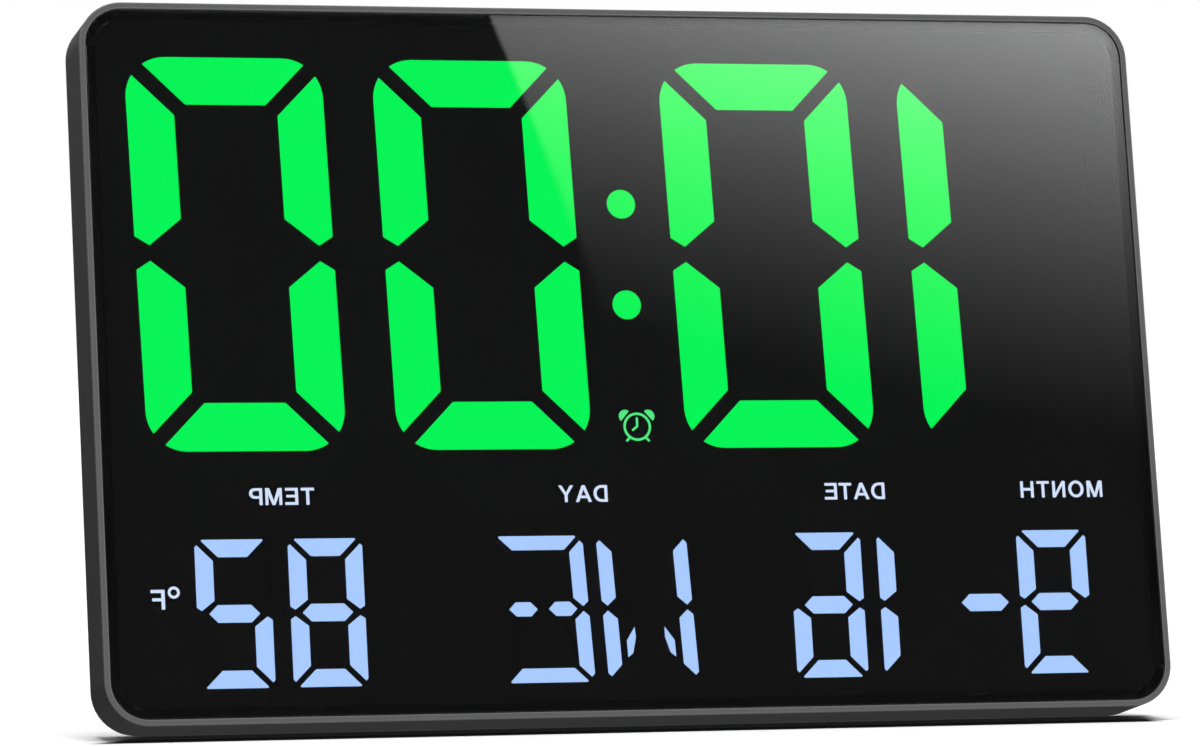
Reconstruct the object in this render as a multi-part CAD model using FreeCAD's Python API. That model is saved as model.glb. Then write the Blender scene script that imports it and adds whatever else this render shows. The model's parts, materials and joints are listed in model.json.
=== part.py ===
import FreeCAD, Part
import math
import os

V = FreeCAD.Vector

# Every size is in millimetres. A piece is built in the housing's own frame: x to the right seen
# from the front, y backwards from the front rim, z up from the bottom edge, x = 0 in the middle.
# The whole clock is then leaned back until its lower rear edge and the stand's pads touch z = 0.

# Housing
body_width = 287.3
body_height = 188.0
body_depth = 19.6
corner_radius = 11.4
rim_width = 1.6
rim_edge_chamfer = 0.25
rear_edge_chamfer = 0.5
side_wall = 2.0
lean_deg = 11.63

# Lens, its tape and the ledge that carries them
lens_thickness = 2.0
lens_recess = 0.15
lens_gap = 0.3
lens_edge_chamfer = 0.15
tape_thickness = 0.3
tape_gap = 0.3
ledge_width = 2.4
ledge_thickness = 1.25

# Display module
module_gap = 0.4
film_thickness = 0.2
film_offset = 0.3
reflector_thickness = 6.35
diffuser_depth = 2.4
board_thickness = 1.6
board_inset = 1.0
led_length = 2.0
led_width = 1.25
led_height = 0.7
led_spacing = 12.0

# Rear cover and its screws
cover_thickness = 2.2
cover_gap = 0.15
cover_rib_height = 2.0
cover_rib_wall = 1.2
boss_radius = 3.0
boss_inset = 5.6
boss_clearance = 0.4
boss_web = 1.5
pilot_radius = 1.4
screw_radius = 1.3
screw_hole_radius = 1.6
screw_head_radius = 2.6
screw_head_height = 1.2
counterbore_radius = 2.9
counterbore_depth = 1.3
screw_reach = 9.0

# Folding stand
stand_width = 84.0
stand_tip_width = 70.0
stand_thickness = 3.0
stand_sole = 4.15
stand_pin_height = 12.0
stand_pin_radius = 1.25
stand_pin_fit = 0.06
stand_barrel_radius = 2.4
stand_gap = 0.4
stand_sink = 0.3
stand_pocket_depth = 1.2
stand_round_from = 10.0
stand_pocket_count = 4
stand_rib = 3.0
recess_depth = 3.8
recess_wall = 1.8
trough_depth = 5.4
stand_corner = 5.5
stop_lip = 1.4
stop_gap = 0.05
pull_scoop_radius = 9.0
pad_length = 18.0
pad_thickness = 1.2
pad_setback = 8.5
pad_edge = 4.0
pad_gap = 0.4

# Rear controls
button_x = (-52.0, -32.0, -12.0, 8.0, 32.0)
button_names = ("set", "up", "down", "alarm", "snooze")
button_lengths = (10.0, 10.0, 10.0, 10.0, 18.0)
button_row_height = 132.0
button_width = 7.0
button_gap = 0.3
button_flange = 1.2
button_flange_thickness = 1.0
button_stand_out = 0.9
button_edge_chamfer = 0.5
button_play = 0.3
button_stem = 4.4
button_travel = 0.5
switch_size = 6.0
switch_height = 3.5
plunger_size = 3.0
plunger_gap = 0.3
plunger_stand_out = 0.7

# Power inlet
inlet_x = -59.0
inlet_low = 9.0
inlet_width = 20.0
inlet_height = 34.0
inlet_floor_wall = 1.4
inlet_wall = 1.4
inlet_corner = 2.0
inlet_clearance = 0.5
socket_width = 8.94
socket_height = 3.2
socket_length = 7.4
socket_wall = 0.3
socket_back = 1.4
socket_gap = 0.2
tongue_width = 6.7
tongue_thickness = 0.7
tongue_recess = 0.6
plug_half_thickness = 3.2

# Backup coin cell and its twist door
coin_x = 92.0
coin_height = 62.0
cell_radius = 10.0
cell_thickness = 3.2
cell_step = 1.2
cell_step_height = 0.5
cell_room = 0.3
holder_wall = 1.3
holder_base = 0.9
holder_lip_drop = 0.6
holder_open_deg = 100.0
door_margin = 2.0
door_gap = 0.25
door_plate = 1.0
door_sink = 0.1
door_edge_chamfer = 0.2
door_hub_wall = 1.4
door_lug_length = 1.7
door_lug_deg = 26.0
door_notch_deg = 34.0
door_lug_thickness = 1.1
door_twist_deg = 45.0
coin_slot_length = 13.0
coin_slot_width = 1.8
coin_slot_depth = 0.6

# Keyhole slots for hanging
keyhole_x = 85.0
keyhole_height = 152.0
keyhole_radius = 4.5
keyhole_slot_radius = 2.2
keyhole_slot_rise = 9.0
keyhole_pocket_depth = 4.6
keyhole_pocket_wall = 1.2
keyhole_pocket_side = 1.5

# Bosses along the edges, from the corners and as a share of the width
boss_corner_drop = 3.2
boss_low_share = 0.3125

# Sounder, sound slots and vents
buzzer_x = 70.0
buzzer_radius = 6.0
buzzer_height = 5.2
buzzer_mouth_radius = 1.2
buzzer_mouth_depth = 1.5
sound_slot_width = 1.5
sound_slot_pitch = 2.8
sound_slot_lengths = (6.0, 9.6, 10.8, 9.6, 6.0)
vent_x = 118.0
vent_height = 100.0
vent_count = 7
vent_pitch = 4.4
vent_length = 20.0
vent_width = 1.8

# What stands on the board: places as (x, z), sizes as width, height, thickness
board_screw_radius = 0.95
board_screw_head = 2.2
board_screw_head_height = 1.3
board_screw_grip = 4.0
board_screw_bore = 1.1
board_screw_pass = 1.2
board_screw_top = 9.0
board_screw_low = 36.0
board_screw_top_x = (-71.5, 72.0)
board_screw_low_x = (-66.0, 74.0)
controller_place = (0.0, 98.0)
controller_size = (13.0, 8.0, 1.8)
driver_places = ((-96.0, 98.0), (-58.0, 98.0), (40.0, 98.0), (74.0, 98.0))
driver_size = (15.4, 7.6, 1.8)
lead_length = 1.0
lead_thickness = 0.5
crystal_place = (0.0, 84.5)
crystal_size = (10.2, 3.6, 3.4)
crystal_flange = 0.5
crystal_flange_thickness = 0.6
capacitor_places = ((-96.0, 26.0), (-84.0, 26.0), (-96.0, 40.0))
capacitor_radius = 3.15
capacitor_height = 5.4
capacitor_foot = 3.3
capacitor_foot_height = 1.0
bead_radius = 1.4
bead_height = 4.6
bead_leg = 0.5
bead_leg_spread = 0.7
post_places = ((-125.0, 120.0), (125.0, 120.0), (-120.0, 66.0), (60.0, 30.0), (22.0, 158.0), (-30.0, 158.0))
post_size = 3.4

# The display is laid out as its reader sees it. The photographed clock shows it reversed left for
# right, which display_hand keeps: -1 is reversed, 1 reads normally.
display_hand = -1

# One character cell: half sizes, stroke widths, and how the strokes are cut where they meet. Its
# outer corners are rounded by the radius, or cut off that far from the corner.
TIME_CELL = {
    "half_width": 26.1,
    "half_height": 51.8,
    "upright": 12.5,
    "level": 12.65,
    "corner": 10.7,
    "round_corners": True,
    "mitre_start": 2.85,
    "mitre_gap": 4.1,
    "tip_inset": 3.8,
    "tip_gap": 2.0,
    "outer_shoulder": 2.4,
    "inner_shoulder": 7.0,
    "lean_deg": 1.25,
    "halves": False,
}
DATE_CELL = {
    "half_width": 9.8,
    "half_height": 19.15,
    "upright": 4.7,
    "level": 4.6,
    "corner": 2.0,
    "round_corners": False,
    "mitre_start": 1.4,
    "mitre_gap": 1.55,
    "tip_inset": 1.3,
    "tip_gap": 0.8,
    "outer_shoulder": 0.85,
    "inner_shoulder": 2.6,
    "lean_deg": 0.0,
    "halves": False,
}
DAY_CELL = {
    "half_width": 12.25,
    "half_height": 19.15,
    "upright": 3.95,
    "level": 3.75,
    "corner": 2.2,
    "round_corners": False,
    "mitre_start": 1.5,
    "mitre_gap": 1.35,
    "tip_inset": 1.5,
    "tip_gap": 0.6,
    "outer_shoulder": 1.35,
    "inner_shoulder": 2.2,
    "lean_deg": 2.3,
    "halves": True,
    "halves_gap": 2.9,
    "slant": ((-4.0, -4.9), (-3.9, -7.7), (-5.0, -11.8), (-6.5, -13.0), (-6.5, -8.6)),
}

# Strokes: a top, b and c right, d bottom, e and f left, g middle, or g and h for its two halves,
# k and m the short slants at the foot of the letter W
STROKES = {
    "0": "abcdef",
    "1": "bc",
    "2": "abged",
    "6": "afgedc",
    "8": "abcdefg",
    "9": "abcdfg",
    "E": "adefgh",
    "W": "bcefkm",
}
middle_z = body_height / 2
time_z = middle_z + 28.25
date_z = middle_z - 65.45
TIME_PLACES = (("1", -104.85), ("0", -38.65), ("0", 39.15), ("0", 104.7))
MONTH_PLACES = (("9", -112.9),)
MONTH_DASH_X = -93.3
DATE_PLACES = (("1", -73.9), ("6", -49.85))
DAY_PLACES = (("W", -0.4), ("E", 27.65))
TEMP_PLACES = (("8", 84.65), ("2", 108.95))
colon_heights = (41.7, 14.7)
colon_x = 0.55
colon_radius = 3.9
icon_x = -0.4
icon_height = -17.75
icon_radius = 5.6

# Depths that follow from the stack
lens_back = lens_recess + lens_thickness
ledge_front = lens_back + tape_thickness
ledge_back = ledge_front + ledge_thickness
film_front = lens_back + film_offset
module_front = film_front + film_thickness
module_back = module_front + reflector_thickness
board_back = module_back + board_thickness
cover_front = body_depth - cover_thickness
recess_floor = body_depth - recess_depth
trough_floor = body_depth - trough_depth
stand_pin_y = body_depth - stand_sink - stand_barrel_radius
stand_foot_rise = (stand_pin_height - stand_barrel_radius) / math.tan(math.radians(lean_deg))
stand_reach = body_depth - rear_edge_chamfer + stand_foot_rise + stand_sole - stand_pin_y
socket_y = board_back + socket_height / 2
inlet_floor = socket_y - plug_half_thickness
cell_back = board_back + holder_base + cell_thickness
holder_radius = cell_radius + cell_room + holder_wall
door_hub_radius = cell_radius + cell_room
door_radius = door_hub_radius + door_margin
door_lug_reach = door_hub_radius + door_lug_length
plunger_end = board_back + switch_height + plunger_stand_out
floor_drop = (body_depth - rear_edge_chamfer) * math.sin(math.radians(lean_deg))

BACK = V(0, 1, 0)
UP = V(0, 0, 1)
RIGHT = V(1, 0, 0)


def box(x0, x1, y0, y1, z0, z1):
    """A block between the two corners."""
    return Part.makeBox(x1 - x0, y1 - y0, z1 - z0, V(x0, y0, z0))


def rod(radius, x, z, y0, y1):
    """A round bar along y."""
    return Part.makeCylinder(radius, y1 - y0, V(x, y0, z), BACK)


def ring_bar(outer, inner, x, z, y0, y1):
    """A tube along y."""
    return rod(outer, x, z, y0, y1).cut(rod(inner, x, z, y0 - 1, y1 + 1))


def prism(points, y0, y1):
    """The polygon of (x, z) points, run from y0 to y1."""
    corners = [V(x, y0, z) for x, z in points]
    face = Part.Face(Part.makePolygon(corners + corners[:1]))
    return face.extrude(V(0, y1 - y0, 0))


def rounded_prism(width, height, radius, y0, y1, x=0.0, z=middle_z):
    """A block with four rounded edges along y, centred on (x, z)."""
    block = box(x - width / 2, x + width / 2, y0, y1, z - height / 2, z + height / 2)
    if radius <= 0:
        return block
    return block.makeFillet(radius, edges_along(block, BACK))


def edges_along(shape, direction):
    """The straight edges of shape that run along the given axis."""
    found = []
    for edge in shape.Edges:
        if abs(edge.tangentAt(edge.FirstParameter).dot(direction)) > 0.999:
            found.append(edge)
    return found


def rounded_outline(points, radius, y0, y1, above=-1000.0):
    """The prism of the points, its along-y edges rounded where they stand higher than above."""
    solid = prism(points, y0, y1)
    edges = [e for e in edges_along(solid, BACK) if e.Vertexes[0].Point.z > above]
    return solid.makeFillet(radius, edges)


def body_prism(inset, y0, y1):
    """The housing's outline drawn in by inset, from y0 to y1."""
    radius = max(corner_radius - inset, 0.5)
    return rounded_prism(body_width - 2 * inset, body_height - 2 * inset, radius, y0, y1)


def outline_edges(shape, y):
    """The edges of shape that lie in the plane at y."""
    found = []
    for edge in shape.Edges:
        middle = edge.valueAt((edge.FirstParameter + edge.LastParameter) / 2)
        ends = [v.Point.y for v in edge.Vertexes] + [middle.y]
        if all(abs(value - y) < 1e-6 for value in ends):
            found.append(edge)
    return found


def fused(shapes):
    """One shape from several that touch or overlap."""
    whole = shapes[0]
    if len(shapes) > 1:
        whole = whole.multiFuse(shapes[1:])
    return whole.removeSplitter()


def group(shapes):
    """Several separate solids kept as one piece list."""
    solids = []
    for shape in shapes:
        solids += shape.Solids
    return Part.makeCompound(solids)


# Display strokes


def raw_strokes(cell):
    """The strokes of one cell as polygons round its centre, before its outer corners are cut."""
    a = cell["half_width"]
    b = cell["half_height"]
    upright = cell["upright"]
    level = cell["level"]
    start = a - cell["mitre_start"]
    drop = cell["mitre_gap"] * math.sqrt(2) - cell["mitre_start"]
    tip = cell["tip_gap"]
    shoulder_out = tip + cell["outer_shoulder"]
    shoulder_in = tip + cell["inner_shoulder"]
    top = [(-start, b), (start, b), (start - level, b - level), (level - start, b - level)]
    right = [
        (a, b - drop),
        (a, shoulder_out),
        (a - cell["tip_inset"], tip),
        (a - upright, shoulder_in),
        (a - upright, b - drop - upright),
    ]
    flip_x = lambda points: [(-u, v) for u, v in points]
    flip_v = lambda points: [(u, -v) for u, v in points]
    strokes = {"a": top, "b": right, "c": flip_v(right), "d": flip_v(top)}
    strokes["e"] = flip_x(strokes["c"])
    strokes["f"] = flip_x(strokes["b"])
    half = level / 2
    reach = a - cell["tip_inset"] - cell["mitre_gap"] * 1.2
    if cell["halves"]:
        near = cell["halves_gap"] / 2
        left = [(-reach, 0), (half - reach, half), (-near - half, half), (-near, 0)]
        left += [(-near - half, -half), (half - reach, -half)]
        strokes["g"] = left
        strokes["h"] = flip_x(left)
        strokes["k"] = list(cell["slant"])
        strokes["m"] = flip_x(cell["slant"])
    else:
        strokes["g"] = [(-reach, 0), (half - reach, half), (reach - half, half), (reach, 0)]
        strokes["g"] += [(reach - half, -half), (half - reach, -half)]
    return strokes


def stroke_prism(cell, points, x, z, y0, y1):
    """One stroke at its place on the face, slanted, with the cell's outer corners cut or rounded."""
    a = cell["half_width"]
    b = cell["half_height"]
    slope = math.tan(math.radians(cell["lean_deg"]))
    slanted = [(display_hand * (x + u + v * slope), z + v) for u, v in points]
    stroke = prism(slanted, y0, y1)
    block = ((-a, -b), (a, -b), (a, b), (-a, b))
    corners = [(display_hand * (x + u + v * slope), z + v) for u, v in block]
    outline = prism(corners, y0 - 1, y1 + 1)
    if cell["round_corners"]:
        outline = outline.makeFillet(cell["corner"], edges_along(outline, BACK))
    else:
        outline = outline.makeChamfer(cell["corner"], edges_along(outline, BACK))
    return stroke.common(outline).Solids[0]


def cell_strokes(cell, places, z, y0, y1):
    """The lit and the dark strokes of a row of characters."""
    lit = []
    dark = []
    for character, x in places:
        for name, points in raw_strokes(cell).items():
            solid = stroke_prism(cell, points, x, z, y0, y1)
            (lit if name in STROKES[character] else dark).append(solid)
    return lit, dark


def month_dash(y0, y1):
    """The dash between the month and the date."""
    points = raw_strokes(DATE_CELL)["g"]
    return stroke_prism(DATE_CELL, points, MONTH_DASH_X, date_z, y0, y1)


def colon_dots(y0, y1):
    """The two round dots between hours and minutes."""
    x = display_hand * colon_x
    return [rod(colon_radius, x, middle_z + height, y0, y1) for height in colon_heights]


def icon_window(y0, y1):
    """The round window behind the alarm sign."""
    return rod(icon_radius, display_hand * icon_x, middle_z + icon_height, y0, y1)


def display_solids(y0, y1):
    """Every lit shape of the display by the field it belongs to, and the dark ones."""
    time_lit, time_dark = cell_strokes(TIME_CELL, TIME_PLACES, time_z, y0, y1)
    month_lit, month_dark = cell_strokes(DATE_CELL, MONTH_PLACES, date_z, y0, y1)
    date_lit, date_dark = cell_strokes(DATE_CELL, DATE_PLACES, date_z, y0, y1)
    day_lit, day_dark = cell_strokes(DAY_CELL, DAY_PLACES, date_z, y0, y1)
    temp_lit, temp_dark = cell_strokes(DATE_CELL, TEMP_PLACES, date_z, y0, y1)
    return {
        "time_segments_lit": time_lit,
        "time_segments_dark": time_dark,
        "colon_dots": colon_dots(y0, y1),
        "alarm_sign_window": [icon_window(y0, y1)],
        "month_segments_lit": month_lit + [month_dash(y0, y1)],
        "date_segments_lit": date_lit,
        "day_segments_lit": day_lit,
        "temp_segments_lit": temp_lit,
        "calendar_segments_dark": month_dark + date_dark + day_dark + temp_dark,
    }


# Front frame


def boss_places():
    """Screw bosses: the four corners, and two on the lower edge that take the stand's load."""
    edge_x = body_width / 2 - boss_inset
    low = boss_inset + boss_corner_drop
    high = body_height - low
    places = [(side * edge_x, z) for side in (-1, 1) for z in (low, high)]
    places += [(side * body_width * boss_low_share, boss_inset) for side in (-1, 1)]
    return places


def front_frame():
    """The one-piece surround: rim, deep side walls, lens ledge and screw bosses."""
    shell = body_prism(0, 0, body_depth)
    shell = shell.makeChamfer(rim_edge_chamfer, outline_edges(shell, 0))
    shell = shell.makeChamfer(rear_edge_chamfer, outline_edges(shell, body_depth))
    shell = shell.cut(body_prism(rim_width, -1, ledge_front))
    shell = shell.cut(body_prism(rim_width + ledge_width, ledge_front - 1, ledge_back + 1))
    shell = shell.cut(body_prism(side_wall, ledge_back, body_depth + 1))
    bosses = []
    for x, z in boss_places():
        bosses.append(rod(boss_radius, x, z, ledge_front + 0.5, cover_front))
    webs = []
    web_reach = boss_inset - side_wall / 2
    half = boss_web / 2
    for x, z in boss_places():
        if abs(x) > body_width / 3:
            ends = sorted((x, x + math.copysign(web_reach, x)))
            webs.append(box(*ends, ledge_back - 0.5, cover_front, z - half, z + half))
        else:
            webs.append(box(x - half, x + half, ledge_back - 0.5, cover_front, z - web_reach, z))
    frame = fused([shell] + [b.common(body_prism(0.5, 0, body_depth)) for b in bosses + webs])
    for x, z in boss_places():
        frame = frame.cut(rod(pilot_radius, x, z, cover_front - screw_reach, cover_front + 1))
    return frame


def lens_panel():
    """The dark clear panel that fills the front, set just below the rim."""
    panel = body_prism(rim_width + lens_gap, lens_recess, lens_back)
    return panel.makeChamfer(lens_edge_chamfer, outline_edges(panel, lens_recess))


def lens_tape():
    """The ring of tape that holds the panel on the frame's ledge."""
    outer = body_prism(rim_width + tape_gap, lens_back, ledge_front)
    return outer.cut(body_prism(rim_width + ledge_width, lens_back - 1, ledge_front + 1))


# Display module


def clear_of_bosses(shape, y0, y1):
    """Shape with a square notch from its edge for each of the frame's bosses."""
    reach = boss_radius + boss_clearance
    for x, z in boss_places():
        if abs(x) > body_width / 3:
            ends = sorted((x - math.copysign(reach, x), math.copysign(body_width / 2, x)))
            shape = shape.cut(box(*ends, y0 - 1, y1 + 1, z - reach, z + reach))
        else:
            shape = shape.cut(box(x - reach, x + reach, y0 - 1, y1 + 1, 0, z + reach))
    return shape


def inlet_relief(y0, y1, margin):
    """The room that the power inlet's pocket needs in the board and the reflector."""
    half = inlet_width / 2 + inlet_wall + margin
    low = inlet_low - inlet_wall - margin
    return box(inlet_x - half, inlet_x + half, y0, y1, low, inlet_top() + inlet_wall + margin)


def inlet_top():
    """The height of the pocket's upper wall, where the socket's mouth is."""
    return inlet_low + inlet_height


def display_cut(y0, y1):
    """All stroke, dot and window shapes together, to be cut out of a plate."""
    shapes = []
    for solids in display_solids(y0, y1).values():
        shapes += solids
    return Part.makeCompound(shapes)


def mask_film():
    """The black film on the reflector's face, open where the display can light up."""
    film = body_prism(rim_width + ledge_width + module_gap, film_front, module_front)
    return film.cut(display_cut(film_front - 0.5, module_front + 0.5))


def board_screw_places():
    """Four screws through the board into the reflector, clear of every stroke."""
    high = body_height - board_screw_top
    low = middle_z - board_screw_low
    return [(x, high) for x in board_screw_top_x] + [(x, low) for x in board_screw_low_x]


def reflector_block():
    """The white block of light wells behind the film, with the flange that seats on the ledge."""
    front = body_prism(rim_width + ledge_width + module_gap, module_front, ledge_back)
    rear = body_prism(side_wall + module_gap, ledge_back, module_back)
    rear = clear_of_bosses(rear, ledge_back, module_back)
    front = clear_of_bosses(front, module_front, ledge_back)
    block = fused([front, rear])
    block = block.cut(display_cut(module_front - 0.5, module_back + 0.5))
    relief = inlet_floor - inlet_floor_wall - inlet_clearance
    block = block.cut(inlet_relief(relief, module_back + 1, inlet_clearance))
    for x, z in board_screw_places():
        bore_end = module_back - board_screw_grip - 0.5
        block = block.cut(rod(board_screw_bore, x, z, bore_end, module_back + 1))
    return block


def main_board():
    """The single circuit board, screwed to the back of the reflector."""
    board = body_prism(side_wall + module_gap + board_inset, module_back, board_back)
    board = clear_of_bosses(board, module_back, board_back)
    board = board.cut(inlet_relief(module_back - 1, board_back + 1, inlet_clearance))
    for x, z in board_screw_places():
        board = board.cut(rod(board_screw_pass, x, z, module_back - 1, board_back + 1))
    return board


def led_row(x, z, along, count, spacing):
    """A row of small lamps on the board's front, along (1, 0) or (0, 1)."""
    chips = []
    for i in range(count):
        step = (i - (count - 1) / 2) * spacing
        cx = x + along[0] * step
        cz = z + along[1] * step
        half_x = led_length / 2 if along[0] else led_width / 2
        half_z = led_width / 2 if along[0] else led_length / 2
        front = module_back - led_height
        chips.append(box(cx - half_x, cx + half_x, front, module_back, cz - half_z, cz + half_z))
    return chips


def stroke_leds(cell, places, z, count, spacing):
    """The lamps of every stroke in a row of characters, at the strokes' middles."""
    chips = []
    for _, x in places:
        for name, points in raw_strokes(cell).items():
            solid = stroke_prism(cell, points, x, z, 0, 1)
            centre = solid.CenterOfMass
            along = (1, 0) if name in "adgh" else (0, 1)
            number = 1 if name in "hkm" or (cell["halves"] and name == "g") else count
            chips += led_row(centre.x, centre.z, along, number, spacing)
    return chips


def time_leds():
    """The green lamps behind the time, its colon and the alarm sign."""
    chips = stroke_leds(TIME_CELL, TIME_PLACES, time_z, 2, led_spacing)
    for dot in colon_dots(0, 1) + [icon_window(0, 1)]:
        chips += led_row(dot.CenterOfMass.x, dot.CenterOfMass.z, (1, 0), 1, 0)
    return group(chips)


def calendar_leds():
    """The pale blue lamps behind the month, date, day and temperature."""
    chips = stroke_leds(DATE_CELL, MONTH_PLACES + DATE_PLACES + TEMP_PLACES, date_z, 1, 0)
    chips += stroke_leds(DAY_CELL, DAY_PLACES, date_z, 1, 0)
    dash = month_dash(0, 1).CenterOfMass
    chips += led_row(dash.x, dash.z, (1, 0), 1, 0)
    return group(chips)


def chip_package(place, size):
    """A flat chip on the board's back, its two rows of leads as one strip each."""
    x, z = place
    width, height, thickness = size
    half_x = width / 2
    half_z = height / 2
    body = box(x - half_x, x + half_x, board_back + 0.1, board_back + thickness, z - half_z, z + half_z)
    strips = []
    for side in (-1, 1):
        ends = sorted((z + side * (half_z - 0.2), z + side * (half_z + lead_length)))
        strips.append(box(x - half_x + 1, x + half_x - 1, board_back, board_back + lead_thickness, *ends))
    return fused([body] + strips)


def controller_chip():
    """The clock's controller."""
    return chip_package(controller_place, controller_size)


def driver_chips():
    """The four lamp drivers."""
    return group([chip_package(place, driver_size) for place in driver_places])


def crystal():
    """The timing crystal in its oblong can."""
    x, z = crystal_place
    width, height, thickness = crystal_size
    seat = board_back + crystal_flange_thickness
    wide = width + 2 * crystal_flange
    high = height + 2 * crystal_flange
    base = box(x - wide / 2, x + wide / 2, board_back, seat, z - high / 2, z + high / 2)
    can = rounded_prism(width, height, height / 2 - 0.02, seat, board_back + thickness, x, z)
    return fused([base, can])


def capacitors():
    """Three upright can capacitors on their square feet."""
    cans = []
    half = capacitor_foot
    seat = board_back + capacitor_foot_height
    for x, z in capacitor_places:
        foot = box(x - half, x + half, board_back, seat, z - half, z + half)
        can = rod(capacitor_radius, x, z, seat, board_back + capacitor_height)
        cans.append(fused([foot, can]))
    return group(cans)


def buzzer():
    """The round sounder behind the sound slots, with its mouth in the middle."""
    z = button_row_height
    end = board_back + buzzer_height
    drum = rod(buzzer_radius, buzzer_x, z, board_back, end)
    return drum.cut(rod(buzzer_mouth_radius, buzzer_x, z, end - buzzer_mouth_depth, end + 1))


def temp_sensor():
    """The bead that feels the room's temperature, on its two legs behind the vents."""
    z = vent_height
    low = board_back + bead_height - bead_radius
    half = bead_leg / 2
    shapes = [rod(bead_radius, vent_x, z, low, low + 2 * bead_radius)]
    for side in (-1, 1):
        x = vent_x + side * bead_leg_spread
        shapes.append(box(x - half, x + half, board_back, low + 0.2, z - half, z + half))
    return fused(shapes)


def power_socket():
    """The socket on the board's edge, its mouth facing down into the inlet's pocket."""
    low = inlet_top() + inlet_wall + socket_gap
    high = low + socket_length
    radius = socket_height / 2 - 0.05
    wall = socket_wall
    outer = pill_along_z(socket_width, socket_height, radius, low, high)
    inner_end = high - socket_back
    width = socket_width - 2 * wall
    height = socket_height - 2 * wall
    inner = pill_along_z(width, height, radius - wall, low - 1, inner_end)
    half_x = tongue_width / 2
    half_y = tongue_thickness / 2
    across = (inlet_x - half_x, inlet_x + half_x, socket_y - half_y, socket_y + half_y)
    tongue = box(*across, low + tongue_recess, inner_end + 0.2)
    return fused([outer.cut(inner), tongue])


def pill_along_z(width, height, radius, z0, z1):
    """A bar along z with a rounded oblong section, centred on the socket."""
    block = box(
        inlet_x - width / 2, inlet_x + width / 2, socket_y - height / 2, socket_y + height / 2, z0, z1
    )
    return block.makeFillet(radius, edges_along(block, UP))


def coin_cell():
    """The backup cell, a disc with a stepped lower face."""
    front = board_back + holder_base
    step = rod(cell_radius - cell_step, coin_x, coin_height, front, front + cell_step_height)
    can = rod(cell_radius, coin_x, coin_height, front + cell_step_height, cell_back)
    return fused([step, can])


def coin_cell_holder():
    """The cell's cup, with one side open for a fingertip."""
    top = cell_back - holder_lip_drop
    seat = board_back + holder_base
    base = rod(holder_radius, coin_x, coin_height, board_back, seat)
    wall = ring_bar(holder_radius, cell_radius + cell_room, coin_x, coin_height, seat, top)
    gap = wedge(coin_x, coin_height, holder_radius + 2, 90.0, holder_open_deg, seat, top + 1)
    return fused([base, wall.cut(gap)])


def wedge(x, z, reach, middle_deg, spread_deg, y0, y1):
    """A slice of a round bar about (x, z), spread evenly to both sides of middle_deg from +x."""
    points = [(x, z)]
    steps = 4
    for i in range(steps + 1):
        angle = math.radians(middle_deg + spread_deg * (i / steps - 0.5))
        points.append((x + reach * math.cos(angle), z + reach * math.sin(angle)))
    return prism(points, y0, y1)


def tact_switches():
    """The five push switches on the board, each bored for its plunger."""
    switches = []
    for x in button_x:
        half = switch_size / 2
        z = button_row_height
        body = box(x - half, x + half, board_back, board_back + switch_height, z - half, z + half)
        depth = plunger_stand_out + button_travel + 0.6
        end = board_back + switch_height
        room = plunger_size / 2 + plunger_gap
        switches.append(body.cut(box(x - room, x + room, end - depth, end + 1, z - room, z + room)))
    return group(switches)


def board_screws():
    """The small screws that hold the board to the reflector."""
    screws = []
    for x, z in board_screw_places():
        head = rod(board_screw_head, x, z, board_back, board_back + board_screw_head_height)
        shaft = rod(board_screw_radius, x, z, module_back - board_screw_grip, board_back + 0.2)
        screws.append(fused([head, shaft]))
    return group(screws)


# Rear cover


def stand_outline(margin):
    """The stand's outline laid flat: (x, z) points, wider at the pin, drawn out by margin."""
    low = stand_pin_height - stand_barrel_radius - margin
    high = stand_pin_height + stand_reach + margin
    half_low = stand_width / 2 + margin
    half_high = stand_tip_width / 2 + margin
    return [(-half_low, low), (half_low, low), (half_high, high), (-half_high, high)]


def recess_cut(margin, y0, y1):
    """The stand's bed in the cover with its finger scoop, drawn out by margin."""
    high = stand_pin_height + stand_reach
    outline = stand_outline(margin)
    bed = rounded_outline(outline, stand_corner + margin, y0, y1, stand_pin_height + stand_round_from)
    scoop = rod(pull_scoop_radius + margin, 0, high, y0, y1)
    return fused([bed, scoop])


def trough_cut(margin, y0, y1):
    """The deeper channel for the stand's barrel."""
    half_x = stand_width / 2 + margin
    half_z = stand_barrel_radius + margin
    z = stand_pin_height
    return box(-half_x, half_x, y0, y1, z - half_z, z + half_z)


def stand_bed():
    """What the cover adds and removes for the folding stand: pan walls, then the hollows."""
    wall = recess_wall
    pan = recess_cut(stand_gap + wall, recess_floor - wall, cover_front)
    trough = trough_cut(stand_gap + wall, trough_floor - wall, cover_front)
    hollow = recess_cut(stand_gap, recess_floor, body_depth + 1)
    channel = trough_cut(stand_gap, trough_floor, body_depth + 1)
    # The open stand's underside rests on a lip along the channel's lower mouth.
    lip_top = stand_pin_height - stand_barrel_radius - stop_gap
    reach = stand_width
    lip = box(-reach, reach, body_depth - stop_lip, body_depth + 2, 0, lip_top)
    return [pan, trough], [hollow.cut(lip), channel.cut(lip)]


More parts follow.
